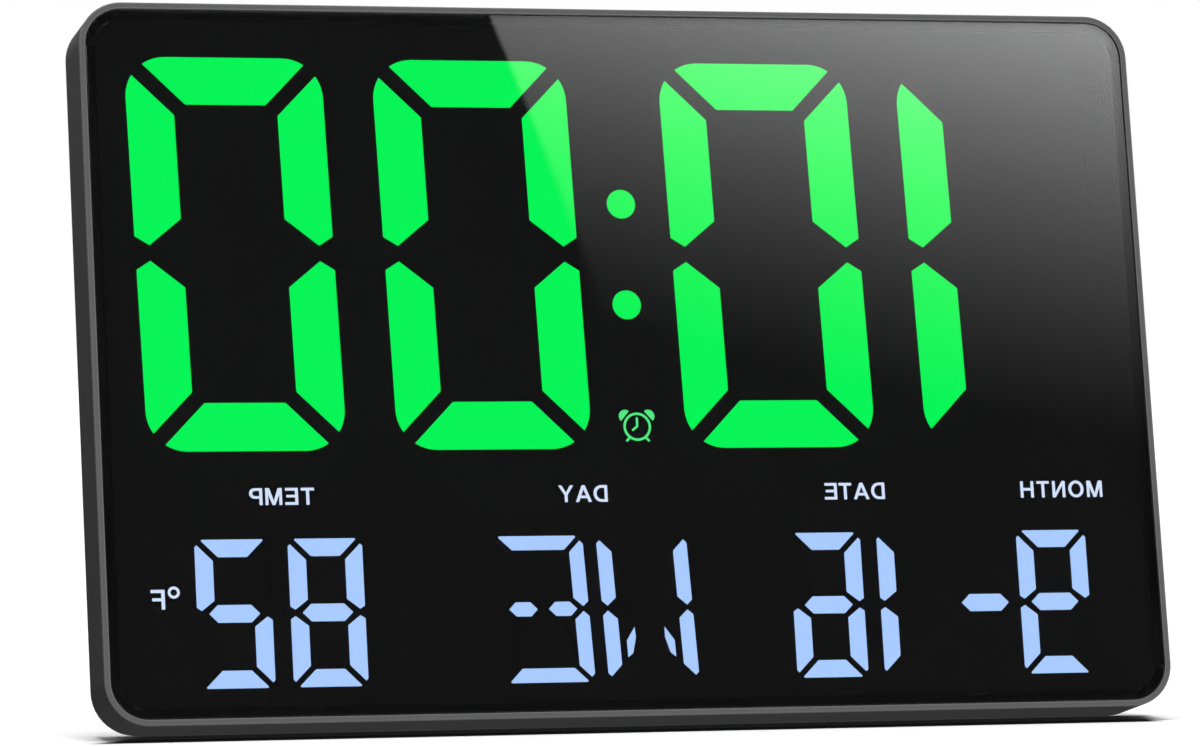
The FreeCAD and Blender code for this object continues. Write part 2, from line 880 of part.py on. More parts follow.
def keyhole_pocket():
    """The closed pockets behind the keyholes, then the keyholes themselves."""
    adds = []
    cuts = []
    for side in (-1, 1):
        x = side * keyhole_x
        half = keyhole_radius + keyhole_pocket_side
        low = keyhole_height - half
        high = keyhole_height + keyhole_slot_rise + keyhole_radius + keyhole_pocket_side
        front = cover_front - keyhole_pocket_depth
        wall = keyhole_pocket_wall
        sides = (x - half - wall, x + half + wall)
        adds.append(box(*sides, front - wall, cover_front, low - wall, high + wall))
        cuts.append(box(x - half, x + half, front, cover_front, low, high))
        cuts.append(rod(keyhole_radius, x, keyhole_height, cover_front - 0.5, body_depth + 1))
        top = keyhole_height + keyhole_slot_rise
        cuts.append(rod(keyhole_slot_radius, x, top, cover_front - 0.5, body_depth + 1))
        slot = keyhole_slot_radius
        cuts.append(box(x - slot, x + slot, cover_front - 0.5, body_depth + 1, keyhole_height, top))
    return adds, cuts


def inlet_pocket():
    """The power inlet's deep pocket, with the plug's slot in its upper wall."""
    half = inlet_width / 2
    wall = inlet_wall
    top = inlet_top()
    add = box(
        inlet_x - half - wall,
        inlet_x + half + wall,
        inlet_floor - inlet_floor_wall,
        cover_front + 0.5,
        inlet_low - wall,
        top + wall,
    )
    hollow = box(inlet_x - half, inlet_x + half, inlet_floor, body_depth + 1, inlet_low, top)
    hollow = hollow.makeFillet(inlet_corner, edges_along(hollow, BACK))
    slot_x = socket_width / 2 + socket_gap
    slot_y = socket_height / 2 + socket_gap
    slot = box(
        inlet_x - slot_x, inlet_x + slot_x, socket_y - slot_y, socket_y + slot_y, top - 0.5, top + wall + 1
    )
    return [add], [hollow, slot]


def button_holes():
    """One oblong hole for each button."""
    cuts = []
    for x, length in zip(button_x, button_lengths):
        width = length + 2 * button_gap
        height = button_width + 2 * button_gap
        radius = height / 2 - 0.05
        cuts.append(
            rounded_prism(width, height, radius, cover_front - 1, body_depth + 1, x, button_row_height)
        )
    return cuts


def sound_slots():
    """Upright slots of different lengths that fill a round patch in front of the sounder."""
    cuts = []
    z = button_row_height
    for i, length in enumerate(sound_slot_lengths):
        x = buzzer_x + (i - (len(sound_slot_lengths) - 1) / 2) * sound_slot_pitch
        half_x = sound_slot_width / 2
        half_z = length / 2
        cuts.append(box(x - half_x, x + half_x, cover_front - 1, body_depth + 1, z - half_z, z + half_z))
    return cuts


def vent_slots():
    """Upright vents that let the room's air reach the temperature bead."""
    cuts = []
    low = vent_height - vent_length / 2
    high = vent_height + vent_length / 2
    for i in range(vent_count):
        x = vent_x + (i - (vent_count - 1) / 2) * vent_pitch
        half = vent_width / 2
        cuts.append(box(x - half, x + half, cover_front - 1, body_depth + 1, low, high))
    return cuts


def door_seat():
    """The coin door's round seat, its lip and the two notches that its lugs drop through."""
    x = coin_x
    z = coin_height
    seat_floor = body_depth - door_plate - door_gap
    cuts = [rod(door_radius, x, z, seat_floor, body_depth + 1)]
    cuts.append(rod(door_hub_radius + door_gap, x, z, cover_front - 1, body_depth + 1))
    for side in (0, 180):
        middle = side - door_twist_deg
        reach = door_lug_reach + door_gap
        slice_cut = wedge(x, z, 1.5 * reach, middle, door_notch_deg, cover_front - 1, body_depth + 1)
        cuts.append(slice_cut.common(rod(reach, x, z, cover_front - 1, body_depth + 1)))
    return cuts


def support_posts():
    """Posts that press the board and the reflector forward against the ledge."""
    posts = []
    half = post_size / 2
    for x, z in post_places:
        posts.append(box(x - half, x + half, board_back, cover_front + 0.5, z - half, z + half))
    return posts


def screw_bores():
    """The through holes and head seats of the cover's screws."""
    cuts = []
    for x, z in boss_places():
        cuts.append(rod(screw_hole_radius, x, z, cover_front - 1, body_depth + 1))
        cuts.append(rod(counterbore_radius, x, z, body_depth - counterbore_depth, body_depth + 1))
    return cuts


def rear_cover():
    """The back of the housing: stand bed, inlet pocket, keyholes, control holes, vents, door seat."""
    inset = side_wall + cover_gap
    plate = body_prism(inset, cover_front, body_depth)
    rib = body_prism(inset, cover_front - cover_rib_height, cover_front)
    rib = rib.cut(body_prism(inset + cover_rib_wall, 0, body_depth))
    rib = clear_of_bosses(rib, 0, body_depth)
    stand_adds, stand_cuts = stand_bed()
    keyhole_adds, keyhole_cuts = keyhole_pocket()
    inlet_adds, inlet_cuts = inlet_pocket()
    cover = fused([plate, rib] + stand_adds + keyhole_adds + inlet_adds + support_posts())
    cuts = stand_cuts + keyhole_cuts + inlet_cuts + button_holes() + sound_slots() + vent_slots()
    cuts += door_seat() + screw_bores() + [pin_bar(stand_pin_radius + 0.01, pin_length() + 0.5)]
    for cut in cuts:
        cover = cover.cut(cut)
    return cover


def pin_length():
    """The stand pin runs through both walls of its channel."""
    return stand_width + 2 * stand_gap + 2 * recess_wall


def pin_bar(radius, length):
    """A round bar along x on the stand's axis."""
    return Part.makeCylinder(radius, length, V(-length / 2, stand_pin_y, stand_pin_height), RIGHT)


def cover_screws():
    """The screws that close the housing, their heads sunk in the cover."""
    screws = []
    seat = body_depth - counterbore_depth
    for x, z in boss_places():
        head = rod(screw_head_radius, x, z, seat, seat + screw_head_height)
        shaft = rod(screw_radius, x, z, cover_front - screw_reach + 1.0, seat + 0.2)
        screws.append(fused([head, shaft]))
    return group(screws)


# Buttons


def button_cap(x, length):
    """One button: an oblong key with a flange that keeps it in and a stem down to its switch."""
    z = button_row_height
    top = body_depth + button_stand_out
    back = cover_front - button_play
    front = back - button_flange_thickness
    radius = button_width / 2 - 0.05
    key = rounded_prism(length, button_width, radius, front, top, x, z)
    key = key.makeChamfer(button_edge_chamfer, outline_edges(key, top))
    half_x = length / 2 + button_flange
    half_z = button_width / 2 + button_flange
    flange = box(x - half_x, x + half_x, front, back, z - half_z, z + half_z)
    half = button_stem / 2
    stem = box(x - half, x + half, plunger_end, back, z - half, z + half)
    return fused([key, flange, stem])


def switch_plunger(x):
    """The switch's own stub, which the button pushes in."""
    front = board_back + switch_height - plunger_stand_out
    half = plunger_size / 2
    z = button_row_height
    return box(x - half, x + half, front, plunger_end, z - half, z + half)


# Coin door


def coin_door():
    """The round twist door: plate, hub, two lugs under the cover's lip, and a coin slot."""
    x = coin_x
    z = coin_height
    seat_floor = body_depth - door_plate - door_gap
    lug_back = cover_front - door_sink
    lug_front = lug_back - door_lug_thickness
    outer = body_depth - door_sink
    plate = rod(door_radius - door_gap, x, z, seat_floor + door_sink, outer)
    plate = plate.makeChamfer(door_edge_chamfer, outline_edges(plate, outer))
    hub = rod(door_hub_radius, x, z, lug_front, seat_floor + 0.2)
    lugs = []
    for side in (0, 180):
        slice_add = wedge(x, z, 1.5 * door_lug_reach, side, door_lug_deg, lug_front, lug_back)
        lugs.append(slice_add.common(rod(door_lug_reach, x, z, lug_front, lug_back)))
    door = fused([plate, hub] + lugs)
    hollow = rod(door_hub_radius - door_hub_wall, x, z, lug_front - 1, seat_floor - door_sink)
    half_x = coin_slot_length / 2
    half_z = coin_slot_width / 2
    slot = box(x - half_x, x + half_x, outer - coin_slot_depth, outer + 1, z - half_z, z + half_z)
    return door.cut(hollow).cut(slot)


# Stand


def floor_slab(lift, thickness):
    """The space under the plane parallel to the floor that lies lift above it."""
    slope = math.radians(lean_deg)
    reach = 300.0
    slab = Part.makeBox(2 * reach, 2 * reach, thickness, V(-reach, -reach, lift - thickness))
    slab.rotate(V(0, 0, 0), RIGHT, math.degrees(slope))
    slab.translate(V(0, body_depth - rear_edge_chamfer, 0))
    return slab


def opened(shape):
    """A shape of the folded stand, swung out square to the back."""
    swung = shape.copy()
    swung.rotate(V(0, stand_pin_y, stand_pin_height), RIGHT, -90.0)
    return swung


def folded_stand():
    """The stand as it lies in its bed: barrel along the pin, tapered leg, pockets and ribs inside."""
    outer = body_depth - stand_sink
    inner = outer - stand_thickness
    top = stand_pin_height + stand_reach
    half = stand_width / 2
    axis_y = stand_pin_y
    axis_z = stand_pin_height
    radius = stand_barrel_radius
    meet_z = axis_z + math.sqrt(radius**2 - (axis_y - inner) ** 2)
    start = V(-half, outer, axis_z)
    meet = V(-half, inner, meet_z)
    lowest = V(-half, axis_y, axis_z - radius)
    corners = [meet, V(-half, inner, top), V(-half, outer, top), start]
    sides = [Part.makeLine(p, q) for p, q in zip(corners, corners[1:])]
    section = Part.Wire([Part.Arc(start, lowest, meet).toShape()] + sides)
    stand = Part.Face(section).extrude(V(stand_width, 0, 0))
    round_above = axis_z + stand_round_from
    outline = rounded_outline(stand_outline(0), stand_corner, inner - 5, outer + 1, round_above)
    stand = stand.common(outline)
    low = axis_z + radius + stand_rib
    high = top - pad_setback - stand_rib
    usable = stand_tip_width - 2 * stand_rib
    cell = (usable - (stand_pocket_count - 1) * stand_rib) / stand_pocket_count
    for i in range(stand_pocket_count):
        left = -usable / 2 + i * (cell + stand_rib)
        pocket = box(left, left + cell, inner - 1, inner + stand_pocket_depth, low, high)
        stand = stand.cut(pocket)
    return stand.cut(pin_bar(stand_pin_radius + stand_pin_fit, stand_width + 2)).Solids[0]


def pad_places():
    """The two places for rubber pads at the open stand's tip, as blocks in the open pose."""
    tip = stand_pin_y + stand_reach
    half = pad_length / 2
    blocks = []
    for side in (-1, 1):
        centre = side * (stand_tip_width / 2 - half - pad_edge)
        blocks.append(box(centre - half, centre + half, tip - pad_setback, tip + 5, 0, 40))
    return blocks


def stand_leg():
    """The stand swung open, its tip cut parallel to the floor with seats for the pads."""
    leg = opened(folded_stand()).cut(floor_slab(pad_gap, 20.0))
    for block in pad_places():
        leg = leg.cut(block.common(floor_slab(pad_thickness, 20.0)))
    return leg


def stand_pads():
    """Two rubber pads that stand on the floor."""
    whole = opened(folded_stand()).cut(floor_slab(0.0, 20.0))
    pads = []
    for block in pad_places():
        pads.append(whole.common(block).common(floor_slab(pad_thickness, 20.0)))
    return group(pads)


def stand_pin():
    """The steel pin that the stand turns on, held in the walls of its channel."""
    return pin_bar(stand_pin_radius, pin_length())


def all_pieces():
    """Every node of the clock in the housing's frame."""
    pieces = {
        "front_frame": front_frame(),
        "lens_panel": lens_panel(),
        "lens_tape": lens_tape(),
        "mask_film": mask_film(),
        "reflector_block": reflector_block(),
        "main_board": main_board(),
        "time_leds": time_leds(),
        "calendar_leds": calendar_leds(),
        "controller_chip": controller_chip(),
        "driver_chips": driver_chips(),
        "crystal": crystal(),
        "capacitors": capacitors(),
        "buzzer": buzzer(),
        "temp_sensor": temp_sensor(),
        "power_socket": power_socket(),
        "coin_cell_holder": coin_cell_holder(),
        "coin_cell": coin_cell(),
        "tact_switches": tact_switches(),
        "board_screws": board_screws(),
        "rear_cover": rear_cover(),
        "cover_screws": cover_screws(),
        "coin_door": coin_door(),
        "stand_leg": stand_leg(),
        "stand_pads": stand_pads(),
        "stand_pin": stand_pin(),
    }
    for name, solids in display_solids(module_front, module_front + diffuser_depth).items():
        pieces[name] = group(solids)
    for name, x, length in zip(button_names, button_x, button_lengths):
        pieces[name + "_button"] = button_cap(x, length)
        pieces[name + "_plunger"] = switch_plunger(x)
    return pieces


def leaned(shape):
    """A shape of the housing's frame leaned back and lowered so that z = 0 is the floor."""
    placed = shape.copy()
    placed.rotate(V(0, 0, 0), RIGHT, -lean_deg)
    placed.translate(V(0, 0, floor_drop))
    return placed


def main():
    os.makedirs("parts", exist_ok=True)
    placed = {name: leaned(shape) for name, shape in all_pieces().items()}
    # The origin is on the floor under the middle of the clock's outline seen from above.
    front = placed["front_frame"].optimalBoundingBox(False)
    leg = placed["stand_leg"].optimalBoundingBox(False)
    pads = placed["stand_pads"].optimalBoundingBox(False)
    middle_y = (front.YMin + max(front.YMax, leg.YMax, pads.YMax)) / 2
    for name, shape in placed.items():
        shape.translate(V(0, -middle_y, 0))
        shape.exportStep("parts/" + name + ".step")
        print(name, len(shape.Solids), "solids", shape.isValid())
    print("moved by", -middle_y, "in y and", floor_drop, "in z")


main()
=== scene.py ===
import json
import math

import bmesh
import bpy
import numpy as np
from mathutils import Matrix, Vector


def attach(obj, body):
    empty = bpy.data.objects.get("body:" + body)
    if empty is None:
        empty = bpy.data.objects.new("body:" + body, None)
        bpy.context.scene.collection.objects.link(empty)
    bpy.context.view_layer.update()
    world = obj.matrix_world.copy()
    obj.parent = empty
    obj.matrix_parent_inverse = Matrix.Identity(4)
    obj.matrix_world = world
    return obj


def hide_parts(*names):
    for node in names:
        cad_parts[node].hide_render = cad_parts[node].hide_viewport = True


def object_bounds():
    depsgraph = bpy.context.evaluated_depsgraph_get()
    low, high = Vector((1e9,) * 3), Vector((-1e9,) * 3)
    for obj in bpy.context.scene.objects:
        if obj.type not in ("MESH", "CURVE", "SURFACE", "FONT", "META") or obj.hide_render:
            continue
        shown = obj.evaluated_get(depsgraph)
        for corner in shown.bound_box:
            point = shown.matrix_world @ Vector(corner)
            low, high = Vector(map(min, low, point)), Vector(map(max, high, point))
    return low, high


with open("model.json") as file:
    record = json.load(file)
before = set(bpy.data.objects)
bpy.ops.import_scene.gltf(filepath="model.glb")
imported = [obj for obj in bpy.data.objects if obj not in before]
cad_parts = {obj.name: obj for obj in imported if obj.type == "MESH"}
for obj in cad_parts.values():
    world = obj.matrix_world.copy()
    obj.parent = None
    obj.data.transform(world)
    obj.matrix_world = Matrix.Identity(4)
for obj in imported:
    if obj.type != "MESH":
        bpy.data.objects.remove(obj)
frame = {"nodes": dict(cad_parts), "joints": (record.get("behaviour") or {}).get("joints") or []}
cad_low, cad_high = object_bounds()
parts = frame["nodes"]

# The face
# The clock leans back on its stand. Every place below is given from the middle of its front rim:
# x to the right, depth backwards from the rim, height along the face towards its upper edge.
door_joint = next(joint for joint in frame["joints"] if joint["name"] == "coin_door_twist")
backwards = np.array(door_joint["axis"])
upwards = np.array([0.0, -backwards[2], backwards[1]])
sideways = np.array([1.0, 0.0, 0.0])


def part_points(name):
    """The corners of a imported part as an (n, 3) array."""
    mesh = parts[name].data
    flat = np.empty(len(mesh.vertices) * 3, np.float32)
    mesh.vertices.foreach_get("co", flat)
    return flat.reshape(-1, 3).astype(float)


rim_points = part_points("front_frame")
rim_depths = rim_points @ backwards
rim_heights = rim_points @ upwards
face_middle = rim_depths.min() * backwards + (rim_heights.min() + rim_heights.max()) / 2 * upwards
half_width = rim_points[:, 0].max()
half_height = (rim_heights.max() - rim_heights.min()) / 2
case_depth = rim_depths.max() - rim_depths.min()


def on_clock(x, depth, height):
    """Points given on the clock's axes, in metres: the face's middle plus each part times its axis."""
    x, depth, height = np.broadcast_arrays(np.asarray(x, float), depth, height)
    offsets = np.multiply.outer(x, sideways) + np.multiply.outer(depth, backwards)
    return face_middle + offsets + np.multiply.outer(height, upwards)


# Camera
# It stands left of the clock and looks slightly down, at the angle, distance and focal length of
# the picture.
camera_offset = (-0.4171, -1.4259, 0.0136)
camera_turn_deg = -15.964
camera_pitch_deg = -0.675
camera = bpy.data.objects.new("camera", bpy.data.cameras.new("camera"))
bpy.context.scene.collection.objects.link(camera)
camera.location = face_middle + np.array(camera_offset)
camera.rotation_euler = (math.radians(90 + camera_pitch_deg), 0.0, math.radians(camera_turn_deg))
camera.data.sensor_width = 36.0
camera.data.lens = 170.67
bpy.context.scene.camera = camera
bpy.context.scene.view_settings.view_transform = "Standard"

# Studio
# A pale paper floor under a white surround. A broad lamp stands overhead and a second high in front
# at the right. Two more fill the back and, from below a floor that casts no shadow, the front.
ambient = 0.10
floor_half = 6.0
floor_shown = 0.85
floor_bounce = 0.08
world = bpy.data.worlds.new("studio")
bpy.context.scene.world = world
world.use_nodes = True


def by_sight(tree, rays, plain, seen, socket):
    """Feeds socket with seen for the named kinds of ray, and with plain for all others."""
    path = tree.nodes.new("ShaderNodeLightPath")
    share = path.outputs[rays[0]]
    for name in rays[1:]:
        either = tree.nodes.new("ShaderNodeMath")
        either.operation = "MAXIMUM"
        tree.links.new(share, either.inputs[0])
        tree.links.new(path.outputs[name], either.inputs[1])
        share = either.outputs[0]
    pick = tree.nodes.new("ShaderNodeMapRange")
    pick.inputs["To Min"].default_value = plain
    pick.inputs["To Max"].default_value = seen
    tree.links.new(share, pick.inputs["Value"])
    tree.links.new(pick.outputs["Result"], socket)


surround = world.node_tree.nodes["Background"]
surround.inputs["Color"].default_value = (1.0, 1.0, 1.0, 1.0)
looking_rays = ("Is Camera Ray", "Is Glossy Ray", "Is Transmission Ray")
by_sight(world.node_tree, looking_rays, ambient, 1.0, surround.inputs["Strength"])

floor_mesh = bpy.data.meshes.new("floor")
floor_corners = [(-floor_half, -floor_half, 0), (floor_half, -floor_half, 0)]
floor_corners += [(floor_half, floor_half, 0), (-floor_half, floor_half, 0)]
floor_mesh.from_pydata(floor_corners, [], [(0, 1, 2, 3)])
floor = bpy.data.objects.new("floor", floor_mesh)
bpy.context.scene.collection.objects.link(floor)
floor_material = bpy.data.materials.new("floor_paper")
floor_material.use_nodes = True
floor_tree = floor_material.node_tree
floor_shader = floor_tree.nodes["Principled BSDF"]
floor_shader.inputs["Roughness"].default_value = 0.9
floor_shader.inputs["Specular IOR Level"].default_value = 0.0
straight_rays = ("Is Camera Ray", "Is Transmission Ray")
paper = floor_tree.nodes.new("ShaderNodeVectorMath")
paper.operation = "SCALE"
paper.inputs[0].default_value = (1.0, 1.0, 1.0)
by_sight(floor_tree, straight_rays, floor_bounce, floor_shown, paper.inputs["Scale"])

# A contact shadow is painted into the paper's colour where the case all but touches it: under the
# case to under_shade of its tone, and along a strip at the front to front_shade. Each end is a side,
# its x at the front, and how far it moves to the right for each metre further back.
under_shade = 0.27
front_shade = 0.015
front_strip = (0.007, 0.011)
shade_front = cad_low[1] - 0.005
shade_rear = cad_low[1] + case_depth - 0.005
front_softness = 0.0004
rear_softness = 0.003
end_softness = 0.0025
shade_ends = ((-1, -half_width - 0.004, 0.8), (1, half_width - 0.006, 0.15))
floor_place = floor_tree.nodes.new("ShaderNodeTexCoord")
floor_axes = floor_tree.nodes.new("ShaderNodeSeparateXYZ")
floor_tree.links.new(floor_place.outputs["Object"], floor_axes.inputs[0])
floor_x = floor_axes.outputs["X"]
floor_y = floor_axes.outputs["Y"]


def floor_ramp(place, start, end, first=0.0, last=1.0):
    """A number that goes from first to last as the place goes from start to end."""
    ramp = floor_tree.nodes.new("ShaderNodeMapRange")
    for label, value in (("From Min", start), ("From Max", end), ("To Min", first), ("To Max", last)):
        ramp.inputs[label].default_value = value
    floor_tree.links.new(place, ramp.inputs["Value"])
    return ramp.outputs["Result"]


strip_start, strip_end = (shade_front + reach for reach in front_strip)
painted_shadow_tone = floor_ramp(floor_y, strip_start, strip_end, front_shade, under_shade)
outsides = [
    floor_ramp(floor_y, shade_front + front_softness, shade_front - front_softness),
    floor_ramp(floor_y, shade_rear, shade_rear + rear_softness),
]
for side, end, slant in shade_ends:
    straightened = floor_tree.nodes.new("ShaderNodeMath")
    straightened.operation = "MULTIPLY_ADD"
    floor_tree.links.new(floor_y, straightened.inputs[0])
    straightened.inputs[1].default_value = -slant
    floor_tree.links.new(floor_x, straightened.inputs[2])
    limit = end - slant * shade_front
    softness = side * end_softness
    outsides.append(floor_ramp(straightened.outputs[0], limit - softness, limit + softness))
for outside in outsides:
    lighter = floor_tree.nodes.new("ShaderNodeMath")
    lighter.operation = "MAXIMUM"
    floor_tree.links.new(painted_shadow_tone, lighter.inputs[0])
    floor_tree.links.new(outside, lighter.inputs[1])
    painted_shadow_tone = lighter.outputs[0]
shaded = floor_tree.nodes.new("ShaderNodeVectorMath")
shaded.operation = "SCALE"
floor_tree.links.new(paper.outputs[0], shaded.inputs[0])
floor_tree.links.new(painted_shadow_tone, shaded.inputs["Scale"])
floor_tree.links.new(shaded.outputs[0], floor_shader.inputs["Base Color"])
floor_mesh.materials.append(floor_material)
floor.visible_shadow = False


def far_lamp(name, azimuth_deg, elevation_deg, width_deg, level):
    """A lamp far away, azimuth 0 in front and 90 at the right, that looks width_deg wide.

    At level 1 it alone lights a surface square to it so that its colour renders as written.
    """
    lamp = bpy.data.objects.new(name, bpy.data.lights.new(name, "SUN"))
    bpy.context.scene.collection.objects.link(lamp)
    lamp.rotation_euler = (math.radians(90 - elevation_deg), 0.0, math.radians(azimuth_deg))
    lamp.data.angle = math.radians(width_deg)
    lamp.data.energy = math.pi * level


far_lamp("overhead_lamp", 180.0, 80.0, 12.0, 0.80)
far_lamp("key_lamp", 32.0, 62.0, 24.0, 0.30)
far_lamp("front_fill", 8.0, -18.0, 16.0, 0.54)
far_lamp("rear_fill", 158.0, 22.0, 24.0, 0.60)

# A small lamp near the upper left gives the side its fall in tone from top to foot.
side_lamp_gap = 0.15
side_lamp_rise = 0.11
side_lamp_radius = 0.04
side_lamp_watts = 0.35
side_lamp = bpy.data.objects.new("side_lamp", bpy.data.lights.new("side_lamp", "POINT"))
bpy.context.scene.collection.objects.link(side_lamp)
side_lamp.location = on_clock(-half_width - side_lamp_gap, case_depth / 2, half_height + side_lamp_rise)
side_lamp.data.shadow_soft_size = side_lamp_radius
side_lamp.data.energy = side_lamp_watts
side_lamp.visible_camera = False
side_lamp.visible_glossy = False
side_lamp.visible_transmission = False

# What the panel mirrors
# A tall window-like softbox, bright at its top right and fading downwards, before a dark card.
# Each point of the card is where the ray that leaves the mirrored camera through a point of the
# panel meets the card's plane, so the card is laid out in the panel's own millimetres.
mm = 0.001
card_distance = 0.9
card_columns = 90
card_foot = -25.0
card_top = 125.0
card_right = 190.0
softbox_edge = (-5.3, -0.27, -0.0005)
softbox_softness = (4.0, -0.032)
softbox_grey = (14.1, 0.184, 0.776, 0.000986, 0.00285)
dark_card_gap = 0.02
dark_half_width = 0.22
dark_half_height = 0.16
dark_card_level = 0.05
dark_card_grey = 19.0
mirror_share = 0.054
camera_axes = np.array(camera.location) - face_middle
camera_x = camera_axes @ sideways
camera_depth = camera_axes @ backwards
camera_height = camera_axes @ upwards


def mirrored_point(x, height, distance):
    """The point that far in front of the panel that the camera sees mirrored at (x, height).

    Across and up, it is the panel's point plus its way from the camera, times distance over the
    camera's own distance.
    """
    reach = distance / -camera_depth
    return on_clock(x + (x - camera_x) * reach, -distance, height + (height - camera_height) * reach)


def grid_faces(rows, columns):
    """The quads of a grid of points stored row by row."""
    corner = (np.arange(rows - 1)[:, None] * columns + np.arange(columns - 1)[None, :]).ravel()
    return np.column_stack([corner, corner + 1, corner + columns + 1, corner + columns])


def glow_card(name, points, level):
    """A card that only gloss and glass see, from grids of points and of its light at each of them."""
    mesh = bpy.data.meshes.new(name)
    mesh.from_pydata(points.reshape(-1, 3).tolist(), [], grid_faces(*level.shape).tolist())
    mesh.attributes.new("glow", "FLOAT", "POINT").data.foreach_set("value", level.ravel().astype(np.float32))
    card = bpy.data.objects.new(name, mesh)
    bpy.context.scene.collection.objects.link(card)
    material = bpy.data.materials.new(name)
    material.use_nodes = True
    tree = material.node_tree
    tree.nodes.clear()
    shine = tree.nodes.new("ShaderNodeEmission")
    glow = tree.nodes.new("ShaderNodeAttribute")
    glow.attribute_name = "glow"
    output = tree.nodes.new("ShaderNodeOutputMaterial")
    tree.links.new(glow.outputs["Fac"], shine.inputs["Strength"])
    tree.links.new(shine.outputs[0], output.inputs["Surface"])
    mesh.materials.append(material)
    card.visible_camera = False
    card.visible_diffuse = False
    card.visible_shadow = False


def linear(grey):
    """The linear light of a display grey from 0 to 255."""
    return ((np.asarray(grey) / 255 + 0.055) / 1.055) ** 2.4


# In the panel's millimetres, x across and h up from its middle, the softbox begins at the left on
# the curve a + b h + c h^2, fades in over a softness of a + b h, and has a grey of
# a + b x + c h + d x h + e h^2, each with its own values above.
card_steps = np.linspace(0, 1, card_columns)
across, along = np.meshgrid(card_steps**2, card_steps)
card_height = card_foot + (card_top - card_foot) * along
card_edge = softbox_edge[0] + softbox_edge[1] * card_height + softbox_edge[2] * card_height**2
card_x = card_edge + (card_right - card_edge) * across
edge_softness = softbox_softness[0] + softbox_softness[1] * card_height
card_rise = np.clip((card_x - card_edge) / edge_softness, 0, 1)
card_grey = softbox_grey[0] + softbox_grey[1] * card_x + softbox_grey[2] * card_height
card_grey += softbox_grey[3] * card_x * card_height + softbox_grey[4] * card_height**2
panel_light = np.clip(linear(card_grey) - linear(dark_card_grey), 0, None)
card_light = card_rise * panel_light / mirror_share + dark_card_level
glow_card("softbox_card", mirrored_point(card_x * mm, card_height * mm, card_distance), card_light)
dark_columns = np.linspace(-dark_half_width, dark_half_width, 3)
dark_x, dark_height = np.meshgrid(dark_columns, np.linspace(-dark_half_height, dark_half_height, 3))
dark_points = mirrored_point(dark_x, dark_height, card_distance + dark_card_gap)
glow_card("dark_card", dark_points, np.full(dark_x.shape, dark_card_level))

# A tall grey flag bends round behind the left and keeps the white surround out of the side's sheen.
flag_radius = 2.0
flag_height = 3.0
flag_span_deg = (-8, 100)
flag_columns = 19
flag_level = 0.04
flag_turns = np.radians(np.linspace(*flag_span_deg, flag_columns))
flag_turn, flag_rise = np.meshgrid(flag_turns, np.linspace(0.0, flag_height, 2))
flag_points = np.stack([-flag_radius * np.sin(flag_turn), flag_radius * np.cos(flag_turn), flag_rise], -1)
glow_card("side_flag", flag_points, np.full(flag_turn.shape, flag_level))


# Front frame
# One injection moulding in dark grey plastic with a fine matt grain. Its rim carries the panel,
# its side walls are as deep as the whole clock, and its edges are broken by a hair's chamfer.
def make_group(name, inputs, outputs):
    """An empty node group with the named sockets, each a (name, kind, value) or (name, kind)."""
    group = bpy.data.node_groups.new(name, "ShaderNodeTree")
    for label, kind, value in inputs:
        socket = group.interface.new_socket(label, in_out="INPUT", socket_type=kind)
        socket.default_value = value
    for label, kind in outputs:
        group.interface.new_socket(label, in_out="OUTPUT", socket_type=kind)
    return group, group.nodes.new("NodeGroupInput"), group.nodes.new("NodeGroupOutput")


def noise_at(tree, scale, detail=2.0, stretch=(1.0, 1.0, 1.0)):
    """A noise pattern on the part's own coordinates, scale per metre, or scale from a socket."""
    place = tree.nodes.new("ShaderNodeTexCoord")
    mapping = tree.nodes.new("ShaderNodeMapping")
    mapping.inputs["Scale"].default_value = stretch
    noise = tree.nodes.new("ShaderNodeTexNoise")
    noise.inputs["Detail"].default_value = detail
    tree.links.new(place.outputs["Object"], mapping.inputs["Vector"])
    tree.links.new(mapping.outputs["Vector"], noise.inputs["Vector"])
    if isinstance(scale, bpy.types.NodeSocket):
        tree.links.new(scale, noise.inputs["Scale"])
    else:
        noise.inputs["Scale"].default_value = scale
    return noise.outputs["Fac"]


def math_node(tree, operation, *values):
    """A math node whose inputs are numbers or sockets."""
    node = tree.nodes.new("ShaderNodeMath")
    node.operation = operation
    for place, value in enumerate(values):
        if isinstance(value, bpy.types.NodeSocket):
            tree.links.new(value, node.inputs[place])
        else:
            node.inputs[place].default_value = value
    return node.outputs[0]


def tinted(tree, colour, factor):
    """The colour socket times a number socket."""
    scale = tree.nodes.new("ShaderNodeVectorMath")
    scale.operation = "SCALE"
    tree.links.new(colour, scale.inputs[0])
    tree.links.new(factor, scale.inputs["Scale"])
    return scale.outputs[0]


# Moulded grain: a fine noise is the height, the same noise and a broad slow one shift the tone and
# the roughness by their spreads, up and down from the middle.
moulded_grain, grain_in, grain_out = make_group(
    "moulded_grain",
    [
        ("Colour", "NodeSocketColor", (0.1, 0.1, 0.1, 1.0)),
        ("Grain", "NodeSocketFloat", 3500.0),
        ("Tone Spread", "NodeSocketFloat", 0.15),
        ("Roughness", "NodeSocketFloat", 0.5),
        ("Rough Spread", "NodeSocketFloat", 0.12),
    ],
    [("Colour", "NodeSocketColor"), ("Roughness", "NodeSocketFloat"), ("Height", "NodeSocketFloat")],
)
grain_detail = 3.0
broad_scale = 35.0
fine = noise_at(moulded_grain, grain_in.outputs["Grain"], grain_detail)
broad = noise_at(moulded_grain, broad_scale, grain_detail)
half_broad = math_node(moulded_grain, "MULTIPLY", broad, 0.5)
mixed = math_node(moulded_grain, "MULTIPLY_ADD", fine, 0.5, half_broad)
centred = math_node(moulded_grain, "SUBTRACT", mixed, 0.5)
tone = math_node(moulded_grain, "MULTIPLY_ADD", centred, grain_in.outputs["Tone Spread"], 1.0)
